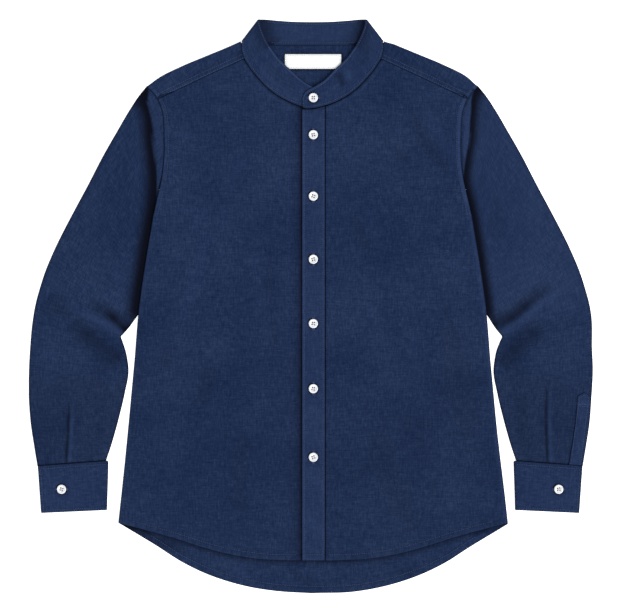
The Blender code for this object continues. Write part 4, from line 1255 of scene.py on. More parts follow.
@dataclass
class Collar:
    """The standing band, folded down at both sides of the neck, with its left end over its right one."""

    # Each station: its lower edge (out, up), its upper edge (out, up), and the heights of both undersides
    half: Rows = (
        (13, 275.4, 13, 311, 2.9, 3.4), (32.4, 282.5, 31.5, 327.3, 2.9, 3.8),
        (54.5, 295.4, 48, 343.5, 2.9, 4.6), (74, 314, 61.5, 363, 2.9, 5.6),
        (88.3, 332.2, 69.6, 381, 2.9, 6.8), (94.1, 341.8, 71.8, 388, 2.9, 7.4),
        (97.9, 357.6, 72.6, 392.3, 4.05, 7.8))
    fold_low: Place = Place(98.4, 365.9)
    fold_top: Place = Place(75.2, 396)
    fold_inward: tuple[float, float] = (-0.86, -0.51)
    tip_inward: tuple[float, float] = (-0.98, 0.03)
    back: Rows = (
        (87.6, 361.3, 66, 396.2, OVER_YOKE, OFF_TABLE), (60, 360.8, 50, 394.8, OVER_YOKE, OFF_TABLE),
        (30, 360.5, 26, 393.2, OVER_YOKE, OFF_TABLE), (0, 360.4, 0, 392.8, OVER_YOKE, OFF_TABLE))
    under_end: Rows = ((-10.3, 275.4, -9.3, 300.8, 2.9, 3.2), (0, 273, 0.5, 303.6, 2.9, 3.2))
    # Here "out" is to the wearer's left, so the end that lies on top has negative values
    over_end: Rows = (
        (17.3, 277, 17, 312.4, 4.7, 5.2), (3, 273.6, 2.6, 303.2, 4.8, 5),
        (-4.8, 272.8, -4.8, 299.6, 4.8, 5), (-9, 272.8, -9, 296.4, 4.8, 5),
        (-11.8, 273.4, -11.8, 292.1, 4.8, 5), (-13.6, 275.4, -13.6, 286.3, 4.8, 5))
    stitch_in: float = 3.2
    button_place: tuple[float, float] = (1.1, 287.7)
    buttonhole: float = 16
    creases: tuple[Crease, ...] = (
        Crease(((33, 324), (38, 313), (43, 302)), -0.8, 5, 4, shade=0.42, starts=0.1),
        Crease(((46, 330), (50, 320), (55, 309)), 0.5, 4, 5, highlight_and_abrasion=0.3),
        Crease(((-22, 300), (-46, 318), (-64, 341)), -0.35, 9, 6, shade=0.1),
        Crease(((-30, 290), (-60, 312), (-80, 340)), 0.3, 5, 6, highlight_and_abrasion=0.08),
        Crease(((62, 330), (74, 348), (80, 366)), -0.4, 7, 6, shade=0.1),
        Crease(((-68, 396), (-66, 378), (-56, 360)), 0, 15, 15, shade=0.5, starts=0, ends=0),
        Crease(((70, 396), (66, 378), (58, 358)), 0, 13, 13, shade=0.5, starts=0, ends=0),
    )

    @staticmethod
    def flat(rows: Rows, sign: float) -> list[list[float]]:
        """Stations that lie flat, on the side with this sign, each as (across, up, height) at both edges."""
        edge = BAND_CLOTH / 2
        return [[low_out * sign, low_up, low_z + edge, top_out * sign, top_up, top_z + edge]
                for low_out, low_up, top_out, top_up, low_z, top_z in rows]

    def fold(self, sign: float) -> list[list[float]]:
        """The soft fold at one side of the neck, from the front to the back.

        Args:
            sign: the sign that "across" has there.

        Returns:
            Its stations, each as (across, up, height) at both edges.
        """
        edge, rows = BAND_CLOTH / 2, []
        ends = ((self.fold_low, OVER_YOKE + edge, 4.05 + edge), (self.fold_top, OFF_TABLE + edge, 7.9 + edge))
        for angle in np.radians((75, 30, -30, -90)):
            row = []
            for place, back_z, front_z in ends:
                radius = (front_z - back_z) / 2
                reach = edge + radius * (1 - math.cos(angle))
                is_tip = place is self.fold_top and angle < 0
                inward = self.tip_inward if is_tip else self.fold_inward
                row += [(place.out + inward[0] * reach) * sign, place.up + inward[1] * reach,
                        back_z + radius * (1 + math.sin(angle))]
            rows.append(row)
        return rows

    def stations(self) -> Array:
        """The band's stations, each with its lower and upper edge as (across, up, height) in one row of 6."""
        rows = self.flat(self.under_end, -1) + self.flat(self.half, -1) + self.fold(-1)
        rows += self.flat(self.back, -1) + self.flat(self.back[-2::-1], 1) + self.fold(1)[::-1]
        return np.array(rows + self.flat(self.half[:0:-1], 1) + self.flat(self.over_end, 1))

    def wall(self) -> ClothWall:
        """Lays out the band's cloth."""
        line = Curve(self.stations())
        edge = BAND_CLOTH / 2
        places = steps_between(0, line.length, 2.6, 6, 10)
        places[0] += edge
        places[-1] -= edge
        rows = line.at(places)
        low, top = rows[:, :3], rows[:, 3:]
        height = norm(top - low, axis=1)
        parts = np.linspace(0, 1, 27)[:, None, None]
        parts = parts - 0.05 * np.sin(parts * 2 * math.pi)
        margin = (edge / height)[None, :, None]
        points = low + (top - low) * (margin + (1 - 2 * margin) * parts)
        from_low = parts[..., 0] * height
        from_top = (1 - parts[..., 0]) * height
        along = np.broadcast_to(places, from_low.shape)
        from_end = line.length - along
        plan = points[..., :2]
        in_front = ease((points[..., 2] - 2.9) / 1.2)
        soft = relief_of(plan, self.creases)
        edges = together((turned_edge(from_low, along, self.stitch_in, 21, 0.75),
                          turned_edge(from_top, along, self.stitch_in, 24, 0.8),
                          turned_edge(from_end, from_low, self.stitch_in, 27, 0.7)))
        to_button = norm(plan - self.button_place, axis=-1)
        clear = ease((to_button - 6) / 6)
        under_end = ease((along - 30) / 10)
        bulge = 0.7 * np.sin(math.pi * parts[..., 0]) * in_front * ease(from_end / 30) * under_end
        rise = (soft.rise * in_front + bulge + 0.15 * wander(along, 33, 2) * in_front) * clear * under_end
        rise += edges.rise * (0.3 + 0.7 * in_front) * under_end
        rise *= ease(np.minimum(from_low, from_top) / 1)
        points[..., 2] = np.maximum(points[..., 2] + rise, OFF_TABLE + edge)
        shade = edges.shade + soft.shade + 0.4 * hump(from_low, 1) * in_front
        behind = 1 - in_front
        shade += behind * (0.06 + 0.3 * hump(from_low - 1, 1.6)) + 0.7 * hump(to_button - 7, 1.2) * in_front
        highlight_and_abrasion = edges.highlight_and_abrasion + soft.highlight_and_abrasion + 0.2 * behind
        highlight_and_abrasion += in_front * (0.05 + 0.34 * hump(from_top - 1.2, 1.8) + 0.16 * hump(from_end - 1.6, 1.5))
        run = running_length(points[points.shape[0] // 2])
        cut = np.dstack([np.broadcast_to(run, from_low.shape), from_low])
        return ClothWall(points, cut, BAND_CLOTH, shade, highlight_and_abrasion)

    def seams(self) -> list[Array]:
        """The plan lines that are stitched, along both edges and round the end that lies on top."""
        line = Curve(self.stations())
        rows = line.at(np.linspace(0, line.length - self.stitch_in, 260))
        low, top = rows[:, :2], rows[:, 3:5]
        away = (top - low) / norm(top - low, axis=1)[:, None] * (self.stitch_in + 0.1)
        in_front = (rows[:, 2] > 3.3) & (np.arange(len(rows)) > 16)
        left, right = in_front & (rows[:, 0] > -16) & (rows[:, 3] > -20), in_front & (rows[:, 0] < 0)
        right &= np.arange(len(rows)) < 130
        left &= np.arange(len(rows)) > 130
        behind = rows[:, 5] < 1
        low_behind, top_behind = behind & (np.abs(rows[:, 0]) < 60), behind & (np.abs(rows[:, 3]) < 62)
        lines = [(low + away)[keep] for keep in (left, right, low_behind)]
        lines += [(top - away)[keep] for keep in (left, right, top_behind)]
        end = np.vstack([(low + away)[-1:], (top - away)[-1:]])
        return [part for part in [*lines, end] if len(part) > 1]


@dataclass
class Sleeve:
    """A flattened tube from the armhole to the cuff.

    Its head stands level with the body beside the armhole seam, and the cloth outside it sinks into a trough,
    painted dark as the body's shadow, before it swells to the sleeve's crown.
    """

    side: Side
    plan: BodyPlan
    creases: tuple[Crease, ...]
    head: float
    head_foot: float
    head_rise: float
    head_top: float
    shadow: float
    shadow_depth: float
    # Each section: its outer edge (out, up), its inner edge, its crown, and the depth of its pleat, which
    # only adds to the line's length, because the pleat itself is laid by the creases
    line: Curve = Curve((
        (228.6, 304.2, 219.5, 126, 2.6, 0), (238.9, 291.6, 207.7, 116.6, 3.6, 0),
        (252.4, 271.2, 200.8, 101.4, 4.6, 0), (269.8, 241.5, 198, 83.5, 5.4, 0),
        (289.1, 207.7, 199.4, 66.9, 5.8, 0), (309.1, 169.1, 204.9, 49, 5.8, 0),
        (329.1, 131.8, 214.6, 28.3, 5.6, 0), (345.7, 100.1, 225.6, 9, 5.4, 0),
        (359.5, 71.1, 242.3, -13.8, 5, 0), (369.2, 47.6, 253, -28.8, 4, 0),
        (376.7, 24.2, 261.2, -38, 5.8, 0), (381.4, 7.5, 264.2, -41.4, 5, 0),
        (385.9, -17, 261.9, -49, 5.4, 0), (390, -60, 256.4, -67.5, 5.8, 0),
        (391.7, -98, 254, -93, 5.8, 0), (391.5, -125, 258.8, -118.5, 5.6, 0),
        (389, -160, 267.2, -154, 5.4, 0.7), (384.4, -191.1, 277.2, -189.8, 5, 1.2),
        (379.7, -219.9, 285, -213, 4.8, 1.2)))
    lap: float = 8
    seam_gap: float = 0.55
    forearm_in: float = 4
    forearm_narrower: float = 2.4
    placket_width: float = 20
    placket_point: float = 8
    placket_ring: int = 15
    row_step: float = 2.9
    upper_columns: int = 96
    lower_columns: int = 26

    def edge_places(self, out: Array, up: Array, is_outer: bool) -> Array:
        """Places on an edge, moved in below the elbow on the left, whose forearm lies closer.

        Args:
            out: distances out.
            up: the places' other coordinate.
            is_outer: whether they are on the outer edge.

        Returns:
            The places, as rows of (out, up).
        """
        if self.side is Side.LEFT:
            out = out - self.forearm_in * ease((-5 - up) / 60)
            if is_outer:
                out = out - self.forearm_narrower * ease((-75 - up) / 60)
        return np.column_stack([out, up])

    def ends(self, stations: Array) -> tuple[Array, Array, Array]:
        """The outer and inner ends of the sections at these stations, and their widths."""
        rows = self.line.at(stations)
        outer = self.edge_places(rows[:, 0], rows[:, 1], True)
        inner = self.edge_places(rows[:, 2], rows[:, 3], False)
        return outer, inner, norm(inner - outer, axis=1)

    def layer(self, stations: Array, distances: Array, is_upper: bool) -> tuple[Array, Relief]:
        """One layer's middle surface.

        Args:
            stations: lengths along the sleeve, one for each row.
            distances: distances from the outer edge, by row and column.
            is_upper: whether the layer is the upper one.

        Returns:
            The points as (across, up, height), and their relief.
        """
        outer, inner, width = self.ends(stations)
        parts = distances / width[:, None]
        half = outer[:, None] + (inner - outer)[:, None] * parts[..., None]
        at_head = np.clip(1 - stations / self.line.stations[1], 0, 1)[:, None]
        head_outer, head_inner = self.line.points[0, :2], self.line.points[0, 2:4]
        on_seam = self.plan.armhole.at(parts.ravel() * self.plan.armhole.length).reshape(half.shape)
        taper = ease(parts / 0.12) * ease((0.62 - parts) / 0.15) * is_upper
        on_seam[..., 0] -= self.lap * taper - self.seam_gap
        to_seam = on_seam - head_outer - (head_inner - head_outer) * parts[..., None]
        half = half + to_seam * at_head[..., None]
        signed = half * [self.side.value, 1]
        if not is_upper:
            height = np.full(parts.shape, CLOTH / 2 + OFF_TABLE)
            if self.side is Side.RIGHT:
                reach = ease((self.placket_width + 5 - distances) / 4)
                first = self.line.stations[self.placket_ring] - self.placket_point - 8
                height += LAYER * reach * ease((stations - first) / 7)[:, None]
            flat = np.zeros(parts.shape)
            return np.dstack([signed, height]), Relief(flat, flat, flat)
        rows = self.line.at(stations)
        crown = rows[:, 4:5]
        bell = np.sin(math.pi * np.clip(parts, 0, 1)) ** 0.6
        beside = distance_outside(half, self.plan.outline)
        to_cuff = (self.line.length - stations)[:, None]
        clear = ease((beside - 16) / 30)
        height = PRESSED - CLOTH / 2 + (crown - PRESSED) * bell * clear * ease(to_cuff / 10)
        if self.side is Side.RIGHT:
            height = np.maximum(height, PRESSED - CLOTH / 2 + LAYER * ease((24 - distances) / 4)
                                * ease((stations - self.line.stations[self.placket_ring] + 14) / 8)[:, None])
        soft = relief_of(signed, self.creases)
        up = half[..., 1]
        head = self.head * ease((up - self.head_foot) / self.head_rise) * ease((306 - up) / self.head_top)
        outside_head = beside - head
        on_head = ease((beside - 0.8) / 2.6) * ease((3 - outside_head) / 7) * (head > 0.5)
        near_body = ease((up + 34) / 30)
        on_edge = ease(np.minimum(distances, width[:, None] - distances) / 9)
        shown = ease((beside - 2) / 8) * ease(to_cuff / 6)
        free = on_edge * shown
        drift = 0.5 * wander(signed[..., 0] * 0.9 - 0.5 * up, 88, 3 + self.side.value)
        drift += 0.4 * wander(up * 0.8 + signed[..., 0] * 0.3, 70, 7 + self.side.value)
        gather = wander(distances, 15, 4 + self.side.value) * hump(to_cuff, 26)
        rise = (soft.rise + drift * ease((beside - 14) / 20) + 0.28 * gather) * free + 1.5 * on_head
        trough = 0.45 * hump(outside_head - 8, 6)
        rise -= trough * ease((beside - 2) / 4) * near_body * (crown - PRESSED > 0.3)
        # Painted shadow that the body casts on the sleeve: darkest just outside the head, fading outwards
        out_of_shadow = (outside_head - self.shadow * 0.2) / self.shadow
        body_shadow = ease((outside_head + 1.4) / 2.2) * ease(1 - out_of_shadow)
        shade = self.shadow_depth * body_shadow * near_body + 0.12 * ease((-60 - up) / 60)
        shade += 0.45 * hump(beside, 1.3) * ease((up - 120) / 20)
        shade += soft.shade * shown + 0.7 * hump(distances, 1.6) + 0.7 * hump(width[:, None] - distances, 1.6)
        shade += 0.45 * hump(to_cuff, 2.2) + 0.10 * np.clip(-gather, 0, 1)
        highlight_and_abrasion = soft.highlight_and_abrasion * shown + 0.04 * on_head * hump(outside_head + 4, 4) + 0.08 * np.clip(gather, 0, 1)
        highlight_and_abrasion += 0.11 * ease((up + 30) / 40) * (self.side is Side.LEFT)
        return np.dstack([signed, height + rise]), Relief(rise, shade, highlight_and_abrasion)

    @staticmethod
    def rolled(high: Array, low: Array, outward: Array, roll: float, turns: Array) -> Array:
        """The half round that joins the two layers along an edge of the sleeve.

        Args:
            high: the upper layer's edge.
            low: the lower layer's edge.
            outward: the way out at each row.
            roll: how far out it reaches.
            turns: the angles of its columns.

        Returns:
            Its points by row and column.
        """
        centre, reach = (high + low) / 2, (high[:, 2] - low[:, 2]) / 2
        columns = []
        for turn in turns:
            column = centre.copy()
            column[:, :2] += outward * roll * math.cos(turn)
            column[:, :2] += (high - low)[:, :2] / 2 * math.sin(turn)
            column[:, 2] += reach * math.sin(turn)
            columns.append(column)
        return np.stack(columns, axis=1)

    def wall(self) -> ClothWall:
        """Lays out the sleeve's cloth as a tube: upper layer, inner roll, lower layer, outer roll."""
        stations = steps_between(0, self.line.length, self.row_step, 14, 10)
        outer, inner, width = self.ends(stations)
        roll = (PRESSED - CLOTH - OFF_TABLE) / 2
        start = CLOTH / 2 + roll
        upper_parts = np.linspace(0, 1, self.upper_columns)[None]
        upper_parts = upper_parts - 0.035 * np.sin(upper_parts * 2 * math.pi)
        lower_parts = np.linspace(1, 0, self.lower_columns)[None]
        room = width[:, None] - 2 * start
        upper, relief = self.layer(stations, start + room * upper_parts, True)
        lower, _ = self.layer(stations, start + room * lower_parts, False)
        angles = np.radians((60, 30, 0, -30, -60))
        outward = (inner - outer) / width[:, None] * [self.side.value, 1]
        inner_roll = self.rolled(upper[:, -1], lower[:, 0], outward, roll, angles)
        outer_roll = self.rolled(upper[:, 0], lower[:, -1], -outward, roll, angles[::-1])
        points = np.concatenate([upper, inner_roll, lower, outer_roll, upper[:, :1]], axis=1)
        round_it = running_length(points.transpose(1, 0, 2)).T
        run = running_length(points[:, upper.shape[1] // 2])
        cut = np.dstack([round_it, np.broadcast_to(run[:, None], round_it.shape)])
        shade = np.full(points.shape[:2], 0.65)
        highlight_and_abrasion = np.zeros(points.shape[:2])
        shade[:, :upper.shape[1]], highlight_and_abrasion[:, :upper.shape[1]] = relief.shade, relief.highlight_and_abrasion
        shade[:, -1], highlight_and_abrasion[:, -1] = shade[:, 0], highlight_and_abrasion[:, 0]
        return ClothWall(points, cut, CLOTH, shade, highlight_and_abrasion, is_tube=True)

    def placket_wall(self) -> ClothWall:
        """Lays out the sleeve's placket, a strip with a pointed top along the outer edge above the cuff."""
        edge = CLOTH / 2
        is_upper = self.side is Side.LEFT
        columns = steps_between(1.3 + edge, self.placket_width - edge, 1.2, 2, 2)
        across = (columns - columns[0]) / (columns[-1] - columns[0])
        point = self.placket_point * (1 - np.abs(2 * across - 1))
        first = self.line.stations[self.placket_ring] - point
        share = np.linspace(0, 1, 56)
        stations = first[None] + edge + (self.line.length - edge - 0.2 - first[None] - edge) * share[:, None]
        points = np.empty((*stations.shape, 3))
        for column, distance in enumerate(columns):
            found, _ = self.layer(stations[:, column], np.full((len(share), 1), distance), is_upper)
            points[:, column] = found[:, 0]
        points[..., 2] += LAYER if is_upper else -LAYER
        from_side = np.minimum(columns - 1.3, self.placket_width - columns)[None]
        from_top = stations - first[None]
        rim = np.minimum(np.broadcast_to(from_side, from_top.shape), from_top * 0.75 + 0.4)
        fold = turned_edge(rim, stations, 2.6, 31, 0.7)
        points[..., 2] += np.clip(fold.rise, 0 if is_upper else -0.1, 0.3) * (1 if is_upper else 0)
        bar = hump(from_top - point[None] - 15, 1.3)
        highlight_and_abrasion = fold.highlight_and_abrasion + 0.12 + 0.34 * bar
        shade = fold.shade + 0.3 * hump(self.placket_width - columns, 1.1)[None]
        shade = shade + 0.3 * hump(columns - 1.5, 1)[None]
        run = running_length(points)
        cut = np.dstack([np.broadcast_to(columns, run.shape), run])
        return ClothWall(points, cut, CLOTH, shade, highlight_and_abrasion)

    def placket_seams(self) -> list[Array]:
        """The plan lines that are stitched on the placket that shows."""
        low, high = 1.3 + 2.8, self.placket_width - 2.8
        first, last = self.line.stations[self.placket_ring], self.line.length - 1
        middle = (low + high) / 2
        corners = ((low, last), (low, first + 3), (middle, first - self.placket_point + 4),
                   (high, first + 3), (high, last))
        lines = [corners, ((low, first + 15), (high, first + 15)), ((low, first + 19), (high, first + 19))]
        placed = []
        for line in lines:
            dense = Curve(line).spread(2) if len(line) == 2 else np.array(line)
            found = [self.layer(np.array([station]), np.array([[distance]]), True)[0][0, 0, :2]
                     for distance, station in dense]
            placed.append(np.array(found))
        return placed


@dataclass
class Cuff:
    """A barrel cuff, buttoned: its free end lies on top along the outer edge."""

    sleeve: Sleeve
    top: tuple[Place, Place] = (Place(378.9, -220.6), Place(281.4, -213.6))
    end: tuple[Place, Place] = (Place(374.4, -285), Place(283.4, -280.9))
    under_rise: float = 1.7
    top_rise: float = 3.4
    inside_start: float = 0.6
    under_reach: float = 34
    button_place: Place = Place(346, -251.9)
    left_button_in: float = 6.6
    buttonhole: float = 15
    stitch_in: float = 3.6
    swell: float = 0.9
    lap: float = 1.1
    columns: int = 190

    def section(self, width: float, count: int) -> tuple[Array, Array]:
        """The cuff's line across the sleeve: from its free end on top, round, and back under that end.

        Args:
            width: the cuff's width there.
            count: how many points the line has.

        Returns:
            Each point's distance from the outer edge and height, and its place along the line.
        """
        bottom = CUFF_CLOTH / 2
        under, top = bottom + self.under_rise, bottom + self.top_rise
        large, small = (top - bottom) / 2, (under - bottom) / 2
        inner, outer = width - CUFF_CLOTH / 2, CUFF_CLOTH / 2 + self.inside_start
        over = (CUFF_CLOTH / 2, width * 0.25, width * 0.5, width * 0.75, inner - large)
        rows = [(distance, top) for distance in over]
        for angle in np.radians((60, 30, 0, -30, -60)):
            rows.append((inner - large * (1 - math.cos(angle)), under + large * math.sin(angle)))
        rows += [(distance, bottom) for distance in (inner - large, width * 0.7, width * 0.35, outer + small)]
        middle = (bottom + under) / 2
        for angle in np.radians((-45, 0, 45)):
            rows.append((outer + small * (1 - math.cos(angle)), middle + small * math.sin(angle)))
        rows += [(outer + distance, under) for distance in (small, self.under_reach / 2, self.under_reach)]
        corners = np.array(rows)
        stations = running_length(corners)
        places = np.linspace(0, stations[-1], count)
        return np.column_stack([np.interp(places, stations, corners[:, axis]) for axis in (0, 1)]), places

    def button_on(self) -> tuple[float, float]:
        """The cuff button's place, as (across, up)."""
        out = self.button_place.out - (self.left_button_in if self.sleeve.side is Side.LEFT else 0)
        return out * self.sleeve.side.value, self.button_place.up

    def edges_at(self, part: float) -> tuple[Array, ...]:
        """The cuff's outer and inner edge at this part of the way down."""
        return tuple(
            self.sleeve.edge_places(*(np.array([top]) * (1 - part) + np.array([end]) * part).T, is_outer)[0]
            for top, end, is_outer in zip(self.top, self.end, (True, False)))

    def wall(self) -> ClothWall:
        """Lays out the cuff's cloth."""
        side = self.sleeve.side.value
        edge = CUFF_CLOTH / 2
        height = norm(np.subtract(self.end[0], self.top[0]))
        downs = steps_between(edge, height - edge, 1.9, 6, 6)
        columns = []
        for down in downs:
            outer, inner = self.edges_at(down / height)
            width = float(norm(inner - outer))
            line, places = self.section(width, self.columns)
            place = outer + (inner - outer) / width * line[:, :1]
            columns.append(np.column_stack([place * [side, 1], line[:, 1], line[:, 0] / width, places]))
        rows = np.array(columns)
        points, part, along = rows[..., :3], rows[..., 3], rows[..., 4]
        on_top = ease((points[..., 2] - edge - self.under_rise - 0.6) / 0.9) * (along < along.max() * 0.5)
        from_top = np.broadcast_to(downs[:, None], along.shape)
        from_end = height - from_top
        from_edge = np.minimum(from_top, from_end)
        plan = points[..., :2]
        to_button = norm(plan - self.button_on(), axis=-1)
        clear = ease((to_button - 6.5) / 7)
        bell = np.sin(math.pi * np.clip(part, 0, 1)) ** 0.7 * ease(from_edge / 16)
        waves = 0.18 * wander(along + 0.6 * downs[:, None], 41, 2 + side)
        rise = (self.swell * bell * 0.6 + waves * ease(from_edge / 8)) * clear
        edges = together((turned_edge(from_top, along, self.stitch_in, 41 + side, 0.8),
                          turned_edge(from_end, along, self.stitch_in, 44 + side, 0.9),
                          turned_edge(along, from_top, self.stitch_in, 47 + side, 0.9)))
        rise += edges.rise * clear * ease(from_edge / 1)
        points[..., 2] += rise * on_top
        lap = on_top * ease(1 - downs / 8)[:, None]
        down = np.subtract(self.end[0], self.top[0]) / height
        points[..., :2] -= down * [side, 1] * (self.lap * lap)[..., None]
        if self.sleeve.side is Side.RIGHT:
            points[..., 2] += 0.65 * lap * ease((28 - along) / 5)
        shade = edges.shade + 0.7 * hump(to_button - 7, 1.2) * on_top
        shade += 0.4 * hump(from_top, 1.6) + 0.14 * hump(from_end, 1) + 0.16 * hump(along, 1)
        highlight_and_abrasion = edges.highlight_and_abrasion + 0.04 + 0.14 * hump(from_end - 1.8, 2) + 0.06 * bell
        shade = shade * (0.4 + 0.6 * on_top) + 0.6 * (1 - on_top)
        return ClothWall(points, np.dstack([from_top, along]), CUFF_CLOTH, shade, highlight_and_abrasion * on_top)

    def seams(self) -> list[Array]:
        """The plan lines that are stitched."""
        top, end = self.edges_at(0), self.edges_at(1)
        down = (end[0] - top[0]) / norm(end[0] - top[0])
        across = (top[1] - top[0]) / norm(top[1] - top[0])
        inset_by, short_by = self.stitch_in + 0.1, 4
        corners = (top[1] + down * inset_by - across * short_by, top[0] + (down + across) * inset_by,
                   end[0] + (across - down) * inset_by, end[1] - down * inset_by - across * short_by)
        return [np.array(corners) * [self.sleeve.side.value, 1]]


@dataclass
class NeckLabel:
    """A plain woven label on the yoke behind the neck, stitched down round its edges."""

    size: tuple[float, float] = (78, 20.5)
    centre: tuple[float, float] = (0.7, 338.2)
    stitch_in: float = 1.8

    def wall(self) -> ClothWall:
        """Lays out the label's tape."""
        edge = CLOTH / 2
        across = steps_between(-self.size[0] / 2 + edge, self.size[0] / 2 - edge, 1.5, 4, 4)
        ups = steps_between(self.size[1] / 2 - edge, -self.size[1] / 2 + edge, 1.2, 3, 3)
        grid = np.dstack(np.meshgrid(across, ups))
        rim = np.minimum(self.size[0] / 2 - np.abs(grid[..., 0]), self.size[1] / 2 - np.abs(grid[..., 1]))
        rise = 0.22 * (1 + wander(grid[..., 0] + grid[..., 1] * 0.4, 21, 3)) * ease((rim - 1) / 4)
        rise -= 0.16 * hump(rim - self.stitch_in, 0.8)
        height = LAYER + edge + rise
        shade = 0.10 * hump(rim - self.stitch_in, 0.8) + 0.25 * hump(rim, 0.7)
        plan = grid + self.centre
        return ClothWall(np.dstack([plan, height]), grid, CLOTH, shade, np.zeros(shade.shape), rim_shade=0.3)

    def seams(self) -> list[Array]:
        """The plan lines that are stitched."""
        x, y = self.size[0] / 2 - self.stitch_in, self.size[1] / 2 - self.stitch_in
        return [np.array([(-x, -y), (-x, y), (x, y), (x, -y), (-x, -y)]) + self.centre]


@dataclass
class Button:
    """A turned four-hole button with a raised rim and a dished middle."""

    diameter: float = 12.7
    height: float = 2.6
    rim: float = 1.7
    dish: float = 0.8
    hole: float = 2.1
    hole_spacing: float = 2.9
    sides: int = 72

    def mesh(self) -> Mesh:
        """Builds the button with its underside at height 0."""
        radius, top = self.diameter / 2, self.height
        floor = top - self.dish
        inside = radius - self.rim
        profile = [
            (0, floor - 0.1), (inside - 1.6, floor - 0.05), (inside - 0.7, floor + 0.15),
            (inside - 0.2, floor + 0.5), (inside + 0.2, top - 0.08), (radius - 1.1, top),
            (radius - 0.6, top - 0.06), (radius - 0.2, top - 0.35), (radius, top - 0.9), (radius - 0.15, 0.9),
            (radius - 0.7, 0.25), (radius - 1.4, 0), (0, 0)]
        outline = bpy.data.meshes.new("button_profile")
        outline.from_pydata([(r * MM, 0.0, z * MM) for r, z in profile],
                            [(i, i + 1) for i in range(len(profile) - 1)], [])
        turned = add_object("button_turned", outline)
        screw = turned.modifiers.new("turn", "SCREW")
        screw.steps = screw.render_steps = self.sides
        screw.use_merge_vertices = True
        screw.merge_threshold = 0.00001
        form = bmesh.new()
        for quarter in range(4):
            angle = math.radians(45 + 90 * quarter)
            reach = self.hole_spacing / math.sqrt(2) * MM
            hole = bmesh.ops.create_cone(form, cap_ends=True, segments=20, radius1=self.hole / 2 * MM,
                                         radius2=self.hole / 2 * MM, depth=self.height * 3 * MM)
            bmesh.ops.translate(form, verts=hole["verts"],
                                vec=(math.cos(angle) * reach, math.sin(angle) * reach, self.height / 2 * MM))
        cutter_mesh = bpy.data.meshes.new("button_holes")
        form.to_mesh(cutter_mesh)
        form.free()
        cutter = add_object("button_holes", cutter_mesh)
        holes = turned.modifiers.new("holes", "BOOLEAN")
        holes.object = cutter
        holes.operation = "DIFFERENCE"
        mesh = bpy.data.meshes.new_from_object(turned.evaluated_get(bpy.context.evaluated_depsgraph_get()))
        for guide in (turned, cutter):
            bpy.data.objects.remove(guide)
        mesh.name = "button"
        mesh.shade_smooth()
        mesh.set_sharp_from_angle(angle=math.radians(40))
        return mesh


@dataclass
class Stitching:
    """Rows of stitches, each a short rounded bar of thread lying on the cloth.

    Real thread is 0.3 mm thick and shows six or seven stitches to 20 mm; it is drawn a little thicker.
    """

    pitch: float = 3.1
    length: float = 2.3
    width: float = 0.62
    thickness: float = 0.42
    vertices: list = field(default_factory=list)
    faces: list = field(default_factory=list)

    def bar(self, centre: Array, along: Array, normal: Array, length: float) -> None:
        """Adds one stitch.

        Args:
            centre: its middle, in millimetres.
            along: its direction.
            normal: the direction away from the cloth.
            length: its length.
        """
        along = along - normal * float(along @ normal)
        along = along / max(float(norm(along)), 1e-9)
        beside = np.cross(normal, along)
        first = len(self.vertices)
        rings = ((-0.5, 0.35, -0.12), (-0.3, 0.9, 0.12), (0.3, 0.9, 0.12), (0.5, 0.35, -0.12))
        for place, size, lift in rings:
            for angle in np.radians(np.arange(6) * 60):
                self.vertices.append(centre + along * place * length
                                     + beside * math.cos(angle) * self.width / 2 * size
                                     + normal * (math.sin(angle) * self.thickness / 2 * size + lift))
        for ring in range(3):
            for corner in range(6):
                low, high = first + ring * 6, first + (ring + 1) * 6
                after = (corner + 1) % 6
                self.faces.append((low + corner, low + after, high + after, high + corner))
        self.faces.append(tuple(first + corner for corner in reversed(range(6))))
        self.faces.append(tuple(first + 18 + corner for corner in range(6)))

    def sew(self, tree: BVHTree, lines: Sequence[Array]) -> None:
        """Lays rows of stitches on a piece.

        Args:
            tree: the piece's surface.
            lines: the rows' lines, as (across, up).
        """
        for line in lines:
            stations = running_length(line)
            count = int(stations[-1] // self.pitch)
            for middle in (np.arange(count) + 0.5) * stations[-1] / max(count, 1):
                before, place, after = (
                    np.array([np.interp(middle + step, stations, line[:, axis]) for axis in (0, 1)])
                    for step in (-0.5, 0, 0.5))
                self.on_surface(tree, place, after - before, self.length)

    def on_surface(self, tree: BVHTree, place: Array, direction: Array, length: float) -> None:
        """Lays one stitch on a piece, found from above.

        Args:
            tree: the piece's surface.
            place: the stitch's middle, as (across, up).
            direction: the way it runs, as (across, up).
            length: its length.
        """
        above = Vector(((place[0] + CENTRE_LINE_X) * MM, place[1] * MM, 0.1))
        hit, normal, _, _ = tree.ray_cast(above, Vector((0, 0, -1)))
        if hit is None or normal.z < 0.3:
            return
        centre = np.array(hit) / MM + np.array(normal) * 0.04
        self.bar(centre, np.array([*direction, 0]), np.array(normal), length)

    def buttonhole(self, tree: BVHTree, centre: tuple[float, float], is_upright: bool, length: float) -> None:
        """Works a buttonhole: two close rows of short stitches with a bar at each end.

        Args:
            tree: the piece's surface.
            centre: its middle, as (across, up).
            is_upright: whether it runs up and down.
            length: its length.
        """
        run = np.array([0, 1]) if is_upright else np.array([1, 0])
        beside = run[::-1]
        for sign in (-1, 1):
            for step in np.arange(-length / 2, length / 2 + 0.1, 0.85):
                self.on_surface(tree, np.array(centre) + run * step + beside * sign * 0.95, beside, 1.7)
            for offset in (-0.5, 0.3):
                end = np.array(centre) + run * sign * (length / 2 + 0.6 + offset)
                self.on_surface(tree, end, beside, 3.4)

    def mesh(self, name: str) -> Mesh:
        """The stitches as one mesh, in metres."""
        mesh = new_mesh(name, self.vertices, self.faces)
        mesh.shade_smooth()
        return mesh


